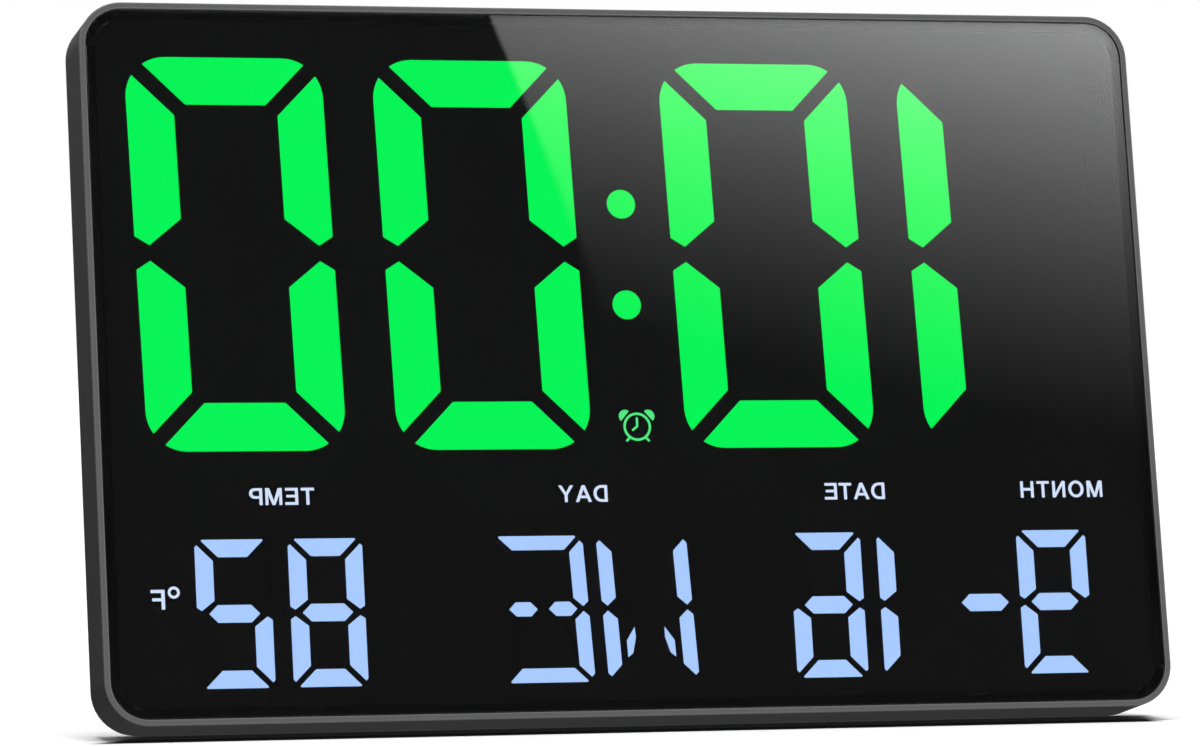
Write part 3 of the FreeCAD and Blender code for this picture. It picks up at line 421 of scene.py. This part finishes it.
rough = math_node(
    moulded_grain, "MULTIPLY_ADD", centred, grain_in.outputs["Rough Spread"], grain_in.outputs["Roughness"]
)
moulded_grain.links.new(tinted(moulded_grain, grain_in.outputs["Colour"], tone), grain_out.inputs["Colour"])
moulded_grain.links.new(rough, grain_out.inputs["Roughness"])
moulded_grain.links.new(fine, grain_out.inputs["Height"])

# Painted edge highlight: where the surface turns sharply, told by how far a rounded normal leaves
# the true one, the colour is painted a little paler, a highlight standing in for light on the edge.
painted_edge_highlight, edge_in, edge_out = make_group(
    "painted_edge_highlight",
    [
        ("Colour", "NodeSocketColor", (0.1, 0.1, 0.1, 1.0)),
        ("Edge Gain", "NodeSocketFloat", 0.5),
        ("Width", "NodeSocketFloat", 0.0004),
    ],
    [("Colour", "NodeSocketColor"), ("Mask", "NodeSocketFloat")],
)
round_normal = painted_edge_highlight.nodes.new("ShaderNodeBevel")
round_normal.samples = 4
painted_edge_highlight.links.new(edge_in.outputs["Width"], round_normal.inputs["Radius"])
true_normal = painted_edge_highlight.nodes.new("ShaderNodeNewGeometry")
agreement = painted_edge_highlight.nodes.new("ShaderNodeVectorMath")
agreement.operation = "DOT_PRODUCT"
painted_edge_highlight.links.new(round_normal.outputs["Normal"], agreement.inputs[0])
painted_edge_highlight.links.new(true_normal.outputs["Normal"], agreement.inputs[1])
edge_steepness = 4.0
departure = math_node(painted_edge_highlight, "SUBTRACT", 1.0, agreement.outputs["Value"])
edge_share = math_node(painted_edge_highlight, "MULTIPLY", departure, edge_steepness)
edge_share = math_node(painted_edge_highlight, "MINIMUM", math_node(painted_edge_highlight, "MAXIMUM", edge_share, 0.0), 1.0)
edge_gain = math_node(painted_edge_highlight, "MULTIPLY_ADD", edge_share, edge_in.outputs["Edge Gain"], 1.0)
painted_edge_highlight.links.new(tinted(painted_edge_highlight, edge_in.outputs["Colour"], edge_gain), edge_out.inputs["Colour"])
painted_edge_highlight.links.new(edge_share, edge_out.inputs["Mask"])


def shader_material(name, **sockets):
    """A material with one Principled shader, its sockets set by name, as (material, tree, shader)."""
    material = bpy.data.materials.new(name)
    material.use_nodes = True
    tree = material.node_tree
    shader = tree.nodes["Principled BSDF"]
    for label, value in sockets.items():
        shader.inputs[label.replace("_", " ")].default_value = value
    return material, tree, shader


def place_group(tree, group, **values):
    """A node that uses the group, with its inputs set by name or fed from sockets."""
    node = tree.nodes.new("ShaderNodeGroup")
    node.node_tree = group
    for label, value in values.items():
        socket = node.inputs[label.replace("_", " ")]
        if isinstance(value, bpy.types.NodeSocket):
            tree.links.new(value, socket)
        else:
            socket.default_value = value
    return node


def raise_bump(tree, shader, height, distance, strength=1.0):
    """Feeds the shader's normal from a height that is worth that many metres."""
    bump = tree.nodes.new("ShaderNodeBump")
    bump.inputs["Distance"].default_value = distance
    bump.inputs["Strength"].default_value = strength
    tree.links.new(height, bump.inputs["Height"])
    tree.links.new(bump.outputs["Normal"], shader.inputs["Normal"])


def moulded(
    name,
    colour,
    roughness=0.5,
    grain=3500.0,
    relief=0.00002,
    tone=0.15,
    edge=0.5,
    edge_width=0.0004,
    **sockets,
):
    """A moulded plastic: grain in tone, roughness and relief, and a painted highlight of strength edge on
    sharp edges.
    """
    material, tree, shader = shader_material(name, **sockets)
    values = {"Colour": (*colour, 1.0), "Grain": grain, "Tone_Spread": tone, "Roughness": roughness}
    body = place_group(tree, moulded_grain, **values)
    edge_highlight = place_group(tree, painted_edge_highlight, Colour=body.outputs["Colour"], Edge_Gain=edge, Width=edge_width)
    tree.links.new(edge_highlight.outputs["Colour"], shader.inputs["Base Color"])
    tree.links.new(body.outputs["Roughness"], shader.inputs["Roughness"])
    raise_bump(tree, shader, body.outputs["Height"], relief)
    return material


def dress(material, *names):
    """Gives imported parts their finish."""
    for name in names:
        slots = parts[name].material_slots
        if not slots:
            parts[name].data.materials.append(material)
        for slot in slots:
            slot.material = material


frame_grey = (0.13, 0.13, 0.131)
# Its sharp edges carry a strong painted highlight, standing in for light on the chamfers.
frame_finish = moulded("frame_plastic", frame_grey, 0.55, edge=1.0, edge_width=0.0007, Specular_IOR_Level=0.2)
dress(frame_finish, "front_frame")

# Panel and its tape
# A sheet of smoked acrylic, 2 mm thick and polished on both faces, lies on a ring of black foam
# tape. Fine dust and wiping marks only show in its gloss.
panel_tint = (0.46, 0.46, 0.47)
panel_material, panel_tree, panel_shader = shader_material(
    "smoked_acrylic", Base_Color=(*panel_tint, 1.0), IOR=1.49, Transmission_Weight=1.0
)
wipe_scale = 18.0
wipe_detail = 4.0
wipe_stretch = (1.0, 1.0, 3.0)
clear_roughness = 0.002
wiped_roughness = 0.016
wiped = noise_at(panel_tree, wipe_scale, wipe_detail, wipe_stretch)
panel_rough = math_node(panel_tree, "MULTIPLY_ADD", wiped, wiped_roughness, clear_roughness)
panel_tree.links.new(panel_rough, panel_shader.inputs["Roughness"])
dress(panel_material, "lens_panel")
foam_black = (0.021, 0.021, 0.021)
foam_finish = moulded("foam_tape", foam_black, 0.85, 1800.0, 0.00006, 0.4, 0.0, Specular_IOR_Level=0.0)
dress(foam_finish, "lens_tape")

# Light shapes
# Each stroke of the digits is a cast diffuser that fills its own well and glows evenly, with a
# faint cloudiness from the resin. The unlit ones are smoke grey and vanish behind the panel.
panel_loss = 2.3
lamp_green = (0.0, 0.92, 0.092)
lamp_blue = (0.402, 0.604, 1.0)
caption_white = (0.66, 0.77, 0.97)
resin_share = 0.03


def glowing(name, light, strength):
    """A lit diffuser: even light, with the resin's faint clouds in its own colour and relief."""
    material, tree, shader = shader_material(
        name, Emission_Color=(*light, 1.0), Emission_Strength=strength, Specular_IOR_Level=0.0
    )
    own = tuple(resin_share * np.array(light))
    body = place_group(tree, moulded_grain, Colour=(*own, 1.0), Grain=900.0, Tone_Spread=0.6, Roughness=0.6)
    tree.links.new(body.outputs["Colour"], shader.inputs["Base Color"])
    tree.links.new(body.outputs["Roughness"], shader.inputs["Roughness"])
    raise_bump(tree, shader, body.outputs["Height"], 0.00001)
    return material


green_glow = glowing("green_diffuser", lamp_green, panel_loss)
blue_glow = glowing("blue_diffuser", lamp_blue, panel_loss)
white_glow = glowing("caption_light", caption_white, panel_loss)
dress(green_glow, "time_segments_lit", "colon_dots")
dress(blue_glow, "month_segments_lit", "date_segments_lit", "day_segments_lit", "temp_segments_lit")
smoke_grey = (0.026, 0.026, 0.0265)
dress(
    moulded("unlit_diffuser", smoke_grey, 0.6, 900.0, 0.00001, 0.2, 0.0, Specular_IOR_Level=0.0),
    "time_segments_dark",
    "calendar_segments_dark",
    "alarm_sign_window",
)

# Mask film, captions and alarm sign
# The film is printed matt black. The captions and the alarm sign are its clear windows, so each is
# a thin lit plate just in front of the print, seen reversed as the whole display is.
film_black = (0.026, 0.026, 0.026)
film_finish = moulded("film_print", film_black, 0.7, 5000.0, 0.000005, 0.3, 0.0, Specular_IOR_Level=0.0)
dress(film_finish, "mask_film")


def depth_range(name):
    """How deep behind the rim a part begins and ends."""
    depths = (part_points(name) - face_middle) @ backwards
    return depths.min(), depths.max()


film_face = depth_range("mask_film")[0]
glyph_back = film_face - 0.02 * mm
glyph_front = film_face - 0.07 * mm


def add_piece(name, points, faces, material, body="housing", slot=None):
    """A new object from points in metres and faces, its doubles merged and its faces turned out."""
    mesh = bpy.data.meshes.new(name)
    mesh.from_pydata(np.asarray(points).tolist(), [], [list(face) for face in faces])
    work = bmesh.new()
    work.from_mesh(mesh)
    bmesh.ops.remove_doubles(work, verts=work.verts, dist=1e-7)
    bmesh.ops.recalc_face_normals(work, faces=work.faces)
    work.to_mesh(mesh)
    work.free()
    mesh.materials.append(material)
    piece = bpy.data.objects.new(name, mesh)
    bpy.context.scene.collection.objects.link(piece)
    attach(piece, body)
    return piece


def plate(loops, near, far):
    """A flat plate between two depths as (points, faces).

    loops is one outline, or an outer and an inner one with as many points, each an (n, 2) array
    of x and height. Each outline is repeated at both depths, and bands of quads join them.
    """
    count = len(loops[0])
    rings = [on_clock(loop[:, 0], depth, loop[:, 1]) for depth in (near, far) for loop in loops]
    step = np.arange(count)
    after = np.roll(step, -1)

    def band(a, b):
        quads = [a * count + step, a * count + after, b * count + after, b * count + step]
        return np.column_stack(quads).tolist()

    if len(loops) == 1:
        faces = [step.tolist(), (count + step).tolist()] + band(0, 1)
    else:
        faces = band(0, 1) + band(2, 3) + band(0, 2) + band(1, 3)
    return np.vstack(rings), faces


def join_plates(plates):
    """Several (points, faces) pairs as one."""
    points = np.vstack([part[0] for part in plates])
    faces = []
    start = 0
    for part_cloud, part_faces in plates:
        faces += [[start + corner for corner in face] for face in part_faces]
        start += len(part_cloud)
    return points, faces


def circle(x, height, radius, count=48, start_deg=0.0, sweep_deg=360.0):
    """Points evenly round a circle, or along an arc of it with both ends.

    Each is the middle plus radius times the cosine and sine of its angle.
    """
    closed = sweep_deg == 360.0
    angle = np.radians(start_deg + np.linspace(0, sweep_deg, count, endpoint=not closed))
    return np.column_stack([x + radius * np.cos(angle), height + radius * np.sin(angle)])


def bar(start, end, width, count=8):
    """A straight line with round ends: two half circles about its ends."""
    start = np.array(start)
    end = np.array(end)
    turn = math.degrees(math.atan2(end[1] - start[1], end[0] - start[0]))
    first = circle(*end, width / 2, count, turn - 90, 180.0)
    last = circle(*start, width / 2, count, turn + 90, 180.0)
    return np.vstack([first, last])


caption_height = 4.4 * mm
caption_low = -37.55 * mm
caption_spans = {
    "TEMP": (-103.9, -86.85),
    "DAY": (-21.95, -8.75),
    "DATE": (50.6, 67.25),
    "MONTH": (105.3, 128.4),
}
unit_low = -64.1 * mm
unit_height = 5.05 * mm
unit_span = (-130.7, -126.9)


def bowl(start_x, low, high, reach, bend, count=14):
    """A line out from start_x at the top, half an ellipse, and back at the bottom."""
    angle = np.radians(np.linspace(90, -90, count))
    curve_x = bend + (reach - bend) * np.cos(angle)
    curve_y = (low + high) / 2 + (high - low) / 2 * np.sin(angle)
    points = np.column_stack([curve_x, curve_y])
    return np.vstack([[[start_x, high]], points, [[start_x, low]]])


def oval(middle_x, half_x, half_y, count=32):
    """An ellipse about half the letter's height: a unit circle times its two half sizes."""
    return np.array([middle_x, 0.5]) + circle(0.0, 0.0, 1.0, count) * np.array([half_x, half_y])


# Each letter as its width and its outlines, all in letter heights. A pair of outlines is a ring.
LETTERS = {
    "T": (
        0.79,
        [[(0, 1), (0.79, 1), (0.79, 0.84), (0.485, 0.84), (0.485, 0), (0.305, 0), (0.305, 0.84), (0, 0.84)]],
    ),
    "E": (
        0.78,
        [
            [(0, 0), (0.18, 0), (0.18, 1), (0, 1)],
            [(0.1, 0.84), (0.76, 0.84), (0.76, 1), (0.1, 1)],
            [(0.1, 0.44), (0.70, 0.44), (0.70, 0.59), (0.1, 0.59)],
            [(0.1, 0), (0.78, 0), (0.78, 0.16), (0.1, 0.16)],
        ],
    ),
    "F": (
        0.72,
        [
            [(0, 0), (0.18, 0), (0.18, 1), (0, 1)],
            [(0.1, 0.84), (0.72, 0.84), (0.72, 1), (0.1, 1)],
            [(0.1, 0.42), (0.65, 0.42), (0.65, 0.57), (0.1, 0.57)],
        ],
    ),
    "H": (
        0.84,
        [
            [(0, 0), (0.18, 0), (0.18, 1), (0, 1)],
            [(0.66, 0), (0.84, 0), (0.84, 1), (0.66, 1)],
            [(0.1, 0.43), (0.74, 0.43), (0.74, 0.59), (0.1, 0.59)],
        ],
    ),
    "N": (
        0.82,
        [
            [(0, 0), (0.18, 0), (0.18, 1), (0, 1)],
            [(0.64, 0), (0.82, 0), (0.82, 1), (0.64, 1)],
            [(0, 1), (0.19, 1), (0.82, 0), (0.63, 0)],
        ],
    ),
    "M": (
        0.99,
        [
            [(0, 0), (0.17, 0), (0.17, 1), (0, 1)],
            [(0.82, 0), (0.99, 0), (0.99, 1), (0.82, 1)],
            [(0.01, 1), (0.24, 1), (0.58, 0), (0.41, 0)],
            [(0.75, 1), (0.98, 1), (0.58, 0), (0.41, 0)],
        ],
    ),
    "Y": (
        0.92,
        [
            [(0.37, 0), (0.55, 0), (0.55, 0.5), (0.37, 0.5)],
            [(0, 1), (0.2, 1), (0.55, 0.42), (0.37, 0.42)],
            [(0.72, 1), (0.92, 1), (0.55, 0.42), (0.37, 0.42)],
        ],
    ),
    "A": (
        0.98,
        [
            [(0, 0), (0.19, 0), (0.585, 1), (0.395, 1)],
            [(0.79, 0), (0.98, 0), (0.585, 1), (0.395, 1)],
            [(0.2, 0.23), (0.78, 0.23), (0.72, 0.38), (0.26, 0.38)],
        ],
    ),
    "D": (0.85, [[bowl(0, 0, 1, 0.85, 0.38), bowl(0.18, 0.155, 0.845, 0.665, 0.36)]]),
    "P": (
        0.78,
        [
            [bowl(0, 0.38, 1, 0.78, 0.46), bowl(0.18, 0.53, 0.845, 0.595, 0.42)],
            [(0, 0), (0.18, 0), (0.18, 0.5), (0, 0.5)],
        ],
    ),
    "O": (0.98, [[oval(0.49, 0.49, 0.515), oval(0.49, 0.3, 0.355)]]),
}


def word_plates(word, low_x, high_x, low, height):
    """A word as thin plates between two places on the face, turned left for right."""
    widths = [LETTERS[letter][0] * height for letter in word]
    space = (high_x - low_x - sum(widths)) / max(len(word) - 1, 1)
    plates = []
    left = 0.0
    for letter, width in zip(word, widths):
        for outline in LETTERS[letter][1]:
            loops = outline if len(outline) == 2 else [outline]
            spots = [np.asarray(loop, float) * height for loop in loops]
            turned = [np.column_stack([high_x - left - spot[:, 0], low + spot[:, 1]]) for spot in spots]
            plates.append(plate(turned, glyph_front, glyph_back))
        left += width + space
    return plates


caption_plates = []
for word, span in caption_spans.items():
    caption_plates += word_plates(word, span[0] * mm, span[1] * mm, caption_low, caption_height)
caption_plates += word_plates("F", unit_span[0] * mm, unit_span[1] * mm, unit_low, unit_height)
degree_x = -124.55 * mm
degree_height = -59.8 * mm
degree_ring = [circle(degree_x, degree_height, radius * mm, 32) for radius in (1.55, 0.85)]
caption_plates.append(plate(degree_ring, glyph_front, glyph_back))
add_piece("captions", *join_plates(caption_plates), white_glow, slot="blue_light")

# The alarm sign is a round clock with two bells, two feet and its hands at eight.
sign_x = 0.36 * mm
sign_height = -17.78 * mm
sign_green = (0.085, 0.80, 0.22)
sign_light = glowing("sign_light", sign_green, panel_loss)
sign_line = 0.64 * mm
sign_radius = 3.75 * mm
bell_radius = 1.7 * mm
bell_turn_deg = 49
bell_sweep_deg = 176.0
bell_middle = (3.14, 2.8)
foot_line = ((2.4, -3.1), (2.95, -3.68))
foot_width = 0.62 * mm
hand_lines = (((0.0, 2.25), (0.0, 0.1)), ((0.0, 0.1), (-1.2, -0.85)))
hand_width = 0.6 * mm
sign_rings = [circle(sign_x, sign_height, radius) for radius in (sign_radius, sign_radius - sign_line)]
sign_plates = [plate(sign_rings, glyph_front, glyph_back)]


def sign_point(x, height):
    """A point of the sign, in millimetres from its middle."""
    return sign_x + x * mm, sign_height + height * mm


for side in (-1, 1):
    bell_start_deg = 90 - side * bell_turn_deg - bell_sweep_deg / 2
    bell_place = sign_point(side * bell_middle[0], bell_middle[1])
    bell = circle(*bell_place, bell_radius, 24, bell_start_deg, bell_sweep_deg)
    sign_plates.append(plate([bell], glyph_front, glyph_back))
    foot = bar(*[sign_point(side * x, height) for x, height in foot_line], foot_width)
    sign_plates.append(plate([foot], glyph_front, glyph_back))
for hand_line in hand_lines:
    hand = bar(*[sign_point(x, height) for x, height in hand_line], hand_width)
    sign_plates.append(plate([hand], glyph_front, glyph_back))
add_piece("alarm_sign", *join_plates(sign_plates), sign_light, slot="green_light")

# Reflector
# The block of light wells is moulded in bright white plastic, so that each lamp fills its stroke.
# Its outer edge is painted black, so that no light leaks round the film.
well_white = (0.78, 0.78, 0.76)
edge_paint = (0.01, 0.01, 0.01)
paint_width = 0.3 * mm
reflector_material, reflector_tree, reflector_shader = shader_material("white_moulding")
well_values = {"Colour": (*well_white, 1.0), "Tone_Spread": 0.05, "Roughness": 0.45}
well_body = place_group(reflector_tree, moulded_grain, **well_values)
reflector_tree.links.new(well_body.outputs["Roughness"], reflector_shader.inputs["Roughness"])
film_places = part_points("mask_film") - face_middle
painted_from = (
    (sideways, np.abs(film_places @ sideways).max() - paint_width),
    (upwards, np.abs(film_places @ upwards).max() - paint_width),
)
reflector_place = reflector_tree.nodes.new("ShaderNodeTexCoord")
painted = 0.0
for axis, limit in painted_from:
    reach = reflector_tree.nodes.new("ShaderNodeVectorMath")
    reach.operation = "DOT_PRODUCT"
    reflector_tree.links.new(reflector_place.outputs["Object"], reach.inputs[0])
    reach.inputs[1].default_value = axis
    offset = math_node(reflector_tree, "SUBTRACT", reach.outputs["Value"], float(face_middle @ axis))
    distance = math_node(reflector_tree, "ABSOLUTE", offset)
    beyond = math_node(reflector_tree, "GREATER_THAN", distance, float(limit))
    painted = math_node(reflector_tree, "MAXIMUM", beyond, painted)
paint_mix = reflector_tree.nodes.new("ShaderNodeMix")
paint_mix.data_type = "RGBA"
paint_mix.inputs["B"].default_value = (*edge_paint, 1.0)
reflector_tree.links.new(painted, paint_mix.inputs["Factor"])
reflector_tree.links.new(well_body.outputs["Colour"], paint_mix.inputs["A"])
reflector_tree.links.new(paint_mix.outputs["Result"], reflector_shader.inputs["Base Color"])
dress(reflector_material, "reflector_block")

# Board and what it carries
# A glass fibre board under green lacquer, with copper runs that show as a faint relief, carries
# pale lamps, black chips, aluminium cans, a sounder, a bead sensor and a nickelled socket.
board_material, board_tree, board_shader = shader_material("board_lacquer", Roughness=0.32)
tracks = board_tree.nodes.new("ShaderNodeTexBrick")
tracks.inputs["Scale"].default_value = 160.0
tracks.inputs["Mortar Size"].default_value = 0.05
tracks.inputs["Color1"].default_value = (0.012, 0.085, 0.035, 1.0)
tracks.inputs["Color2"].default_value = (0.010, 0.070, 0.030, 1.0)
tracks.inputs["Mortar"].default_value = (0.030, 0.150, 0.055, 1.0)
board_place = board_tree.nodes.new("ShaderNodeTexCoord")
board_turn = board_tree.nodes.new("ShaderNodeMapping")
board_turn.inputs["Rotation"].default_value = (math.pi / 2, 0.0, 0.0)
board_tree.links.new(board_place.outputs["Object"], board_turn.inputs["Vector"])
board_tree.links.new(board_turn.outputs["Vector"], tracks.inputs["Vector"])
board_tree.links.new(tracks.outputs["Color"], board_shader.inputs["Base Color"])
raise_bump(board_tree, board_shader, tracks.outputs["Fac"], 0.00003)
dress(board_material, "main_board")
lamp_cream = (0.75, 0.74, 0.62)
chip_black = (0.02, 0.02, 0.021)
nylon_black = (0.03, 0.03, 0.031)
bead_blue = (0.015, 0.02, 0.03)
plunger_red = (0.45, 0.08, 0.04)
lamp_finish = moulded("lamp_package", lamp_cream, 0.35, 2500.0, 0.000005, 0.1, 0.0)
chip_finish = moulded("chip_resin", chip_black, 0.55, 4000.0, 0.00001, 0.3, 0.2)
nylon_finish = moulded("holder_nylon", nylon_black, 0.5, 2500.0, 0.00001, 0.2, 0.2)
bead_finish = moulded("sensor_bead", bead_blue, 0.2, 1500.0, 0.00001, 0.1, 0.0)
plunger_finish = moulded("plunger_resin", plunger_red, 0.4, 2500.0, 0.00001, 0.1, 0.1)
dress(lamp_finish, "time_leds", "calendar_leds")
dress(chip_finish, "controller_chip", "driver_chips", "buzzer")
dress(nylon_finish, "coin_cell_holder", "tact_switches")
dress(bead_finish, "temp_sensor")
dress(plunger_finish, *[name for name in parts if name.endswith("_plunger")])

# Brushed metal: noise drawn out along one axis is the height and shifts the roughness.
brushed_metal, brush_in, brush_out = make_group(
    "brushed_metal",
    [("Roughness", "NodeSocketFloat", 0.3), ("Rough Spread", "NodeSocketFloat", 0.2)],
    [("Roughness", "NodeSocketFloat"), ("Height", "NodeSocketFloat")],
)
lines = noise_at(brushed_metal, 900.0, 3.0, (0.06, 1.0, 1.0))
line_rough = math_node(
    brushed_metal, "MULTIPLY_ADD", lines, brush_in.outputs["Rough Spread"], brush_in.outputs["Roughness"]
)
brushed_metal.links.new(line_rough, brush_out.inputs["Roughness"])
brushed_metal.links.new(lines, brush_out.inputs["Height"])


def bare_metal(name, colour, roughness):
    """A plain metal with fine drawing lines."""
    material, tree, shader = shader_material(name, Base_Color=(*colour, 1.0), Metallic=1.0)
    brushed = place_group(tree, brushed_metal, Roughness=roughness)
    tree.links.new(brushed.outputs["Roughness"], shader.inputs["Roughness"])
    raise_bump(tree, shader, brushed.outputs["Height"], 0.000004)
    return material


dress(bare_metal("drawn_aluminium", (0.78, 0.78, 0.79), 0.25), "crystal", "capacitors")
dress(bare_metal("nickel_plate", (0.62, 0.60, 0.56), 0.2), "power_socket", "stand_pin")
dress(bare_metal("cell_steel", (0.66, 0.66, 0.65), 0.22), "coin_cell")
dress(bare_metal("zinc_screw", (0.55, 0.55, 0.56), 0.3), "board_screws")

# Rear cover
# One injection moulding with bosses, vents and keyholes closes the back. It is a darker grey than
# the frame, has a coarser spark grain, and is held by six screws.
cover_grey = (0.055, 0.055, 0.057)
cover_finish = moulded("cover_plastic", cover_grey, 0.58, 2400.0, 0.00004, 0.25, 0.6, Specular_IOR_Level=0.4)
dress(cover_finish, "rear_cover")

# Cover screws
# Six blackened pan screws with a cross recess in a domed head and a coarse thread. They stand in
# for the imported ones, in the same seats and no larger.
screw_black = bare_metal("blackened_steel", (0.10, 0.10, 0.105), 0.38)
screw_columns = 40
crown_tolerance = 0.02 * mm
screw_reach = 8.0 * mm
head_height = 1.2 * mm
crown_drop = 0.35 * mm
recess_depth = 0.8 * mm
recess_half_width = 0.3 * mm
recess_reach = 1.5 * mm
recess_blend = 0.22 * mm
shank_share = 0.46
thread_height = 0.13 * mm
thread_pitch = 1.25 * mm
point_length = 1.6 * mm


def screw_places():
    """For each packed screw its middle as (x, height) and its head's radius."""
    points = part_points("cover_screws") - face_middle
    flat = np.column_stack([points @ sideways, points @ upwards])
    depths = points @ backwards
    heads = flat[depths > depths.max() - crown_tolerance]
    places = []
    while len(heads):
        near = np.linalg.norm(heads - heads[0], axis=1) < screw_reach
        low, high = heads[near].min(0), heads[near].max(0)
        places.append((*((low + high) / 2), (high[0] - low[0]) / 2))
        heads = heads[~near]
    return places


def screw_surface(x, height, head_radius, seat, tip, top):
    """One screw as points in rows along its profile and columns round its axis.

    Over the crown the radius r runs from 0 to R and the surface lies at top - drop (r / R)^2 less
    the cross, which is recess_depth times the larger of s(|u|) s'(|v|) and s(|v|) s'(|u|), where
    u = r cos t, v = r sin t, s falls from 1 to 0 at the slot's half width and s' at its reach. On
    the shank r = R shank_share + thread_height (|2 frac(depth / pitch - t / 2 pi) - 1| - 1), and
    from there it runs evenly down to 0 at the tip.
    """
    turn = np.linspace(0, 2 * np.pi, screw_columns, endpoint=False)
    crown_r = np.linspace(0, head_radius, 18)[:, None] * np.ones(screw_columns)
    across = np.abs(crown_r * np.cos(turn))
    along = np.abs(crown_r * np.sin(turn))

    def fall(distance, edge):
        return np.clip((edge + recess_blend / 2 - distance) / recess_blend, 0, 1)

    slots = np.maximum(
        fall(across, recess_half_width) * fall(along, recess_reach),
        fall(along, recess_half_width) * fall(across, recess_reach),
    )
    crown_depth = top - crown_drop * (crown_r / head_radius) ** 2 - recess_depth * slots
    shank_radius = head_radius * shank_share
    shank_depth = np.linspace(seat, tip + point_length, 56)[:, None] * np.ones(screw_columns)
    phase = (shank_depth / thread_pitch - turn / (2 * np.pi)) % 1.0
    shank_r = shank_radius + thread_height * (np.abs(2 * phase - 1) - 1)
    seat_r = np.full((1, screw_columns), head_radius)
    point_r = np.linspace(shank_radius - thread_height, 0, 5)[1:, None] * np.ones(screw_columns)
    point_depth = np.linspace(tip + point_length, tip, 5)[1:, None] * np.ones(screw_columns)
    radius = np.vstack([crown_r, seat_r, shank_r, point_r])
    depth = np.vstack([crown_depth, np.full((1, screw_columns), seat), shank_depth, point_depth])
    points = on_clock(x + radius * np.cos(turn), depth, height + radius * np.sin(turn))
    return points.reshape(-1, 3), wrapped_faces(len(radius), screw_columns)


def wrapped_faces(rows, columns):
    """The quads of a grid whose last column joins its first."""
    row = np.arange(rows - 1)[:, None] * columns
    step = np.arange(columns)
    after = np.roll(step, -1)
    quads = [row + step, row + after, row + columns + after, row + columns + step]
    return np.stack(quads, axis=-1).reshape(-1, 4).tolist()


screw_tip, screw_top = depth_range("cover_screws")
screw_seat = screw_top - head_height
screw_parts = [
    screw_surface(x, height, radius, screw_seat, screw_tip, screw_top)
    for x, height, radius in screw_places()
]
screws = add_piece("cross_screws", *join_plates(screw_parts), screw_black, slot="screw_steel")
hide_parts("cover_screws")
dress(screw_black, "cover_screws")

# Coin door
# A round twist door moulded in the cover's plastic. It lifts off after an eighth of a turn, and
# its coin slot is worn a little smoother by use.
door_finish = moulded("door_plastic", cover_grey, 0.5, 2400.0, 0.00003, 0.25, 0.8, Specular_IOR_Level=0.4)
dress(door_finish, "coin_door")

# Buttons
# Five oblong keys, smoother than the cover where fingers press them, each with a small raised sign
# of its own: a ring, an upward and a downward triangle, a dot and a bar.
button_names = [name for name in parts if name.endswith("_button")]
button_grey = (0.085, 0.085, 0.087)
sign_grey = (0.55, 0.55, 0.55)
dress(moulded("button_plastic", button_grey, 0.38, 3500.0, 0.00001, 0.15, 0.5), *button_names)
dot_share = 0.6
bar_reach_share = 2
bar_width_share = 0.55
sign_rise = 0.15 * mm
sign_size = 1.5 * mm
ring_line = 0.5 * mm
sign_sink = 0.05 * mm
sign_paint = moulded("button_sign", sign_grey, 0.5, 3500.0, 0.00001, 0.1, 0.0)


def button_outline(name, x, height):
    """The outline, or outer and inner outline, of one button's sign round the key's middle."""
    if name == "set_button":
        return [circle(x, height, radius) for radius in (sign_size, sign_size - ring_line)]
    if name == "up_button":
        return [circle(x, height, sign_size, 3, 90.0)]
    if name == "down_button":
        return [circle(x, height, sign_size, 3, 270.0)]
    if name == "alarm_button":
        return [circle(x, height, dot_share * sign_size, 32)]
    reach = bar_reach_share * sign_size
    return [bar((x - reach, height), (x + reach, height), bar_width_share * sign_size)]


for name in button_names:
    key_points = part_points(name) - face_middle
    key_depth = (key_points @ backwards).max()
    key_x = (key_points[:, 0].min() + key_points[:, 0].max()) / 2
    key_heights = key_points @ upwards
    key_height = (key_heights.min() + key_heights.max()) / 2
    sign = plate(button_outline(name, key_x, key_height), key_depth - sign_sink, key_depth + sign_rise)
    add_piece(name + "_sign", *sign, sign_paint, body=name, slot="button_plastic")

# Stand
# The folding leg is moulded in the cover's plastic. It turns on its steel pin and folds flat
# into the cover's recess.
stand_finish = moulded("stand_plastic", cover_grey, 0.55, 2400.0, 0.00004, 0.25, 0.7, Specular_IOR_Level=0.4)
dress(stand_finish, "stand_leg")

# Stand pads
# Two blocks of soft black rubber are let into the foot of the leg, where they meet the table.
# They are dull and slightly dusty.
pad_black = (0.022, 0.022, 0.022)
pad_finish = moulded("pad_rubber", pad_black, 0.8, 1500.0, 0.00005, 0.5, 0.3, Specular_IOR_Level=0.3)
dress(pad_finish, "stand_pads")
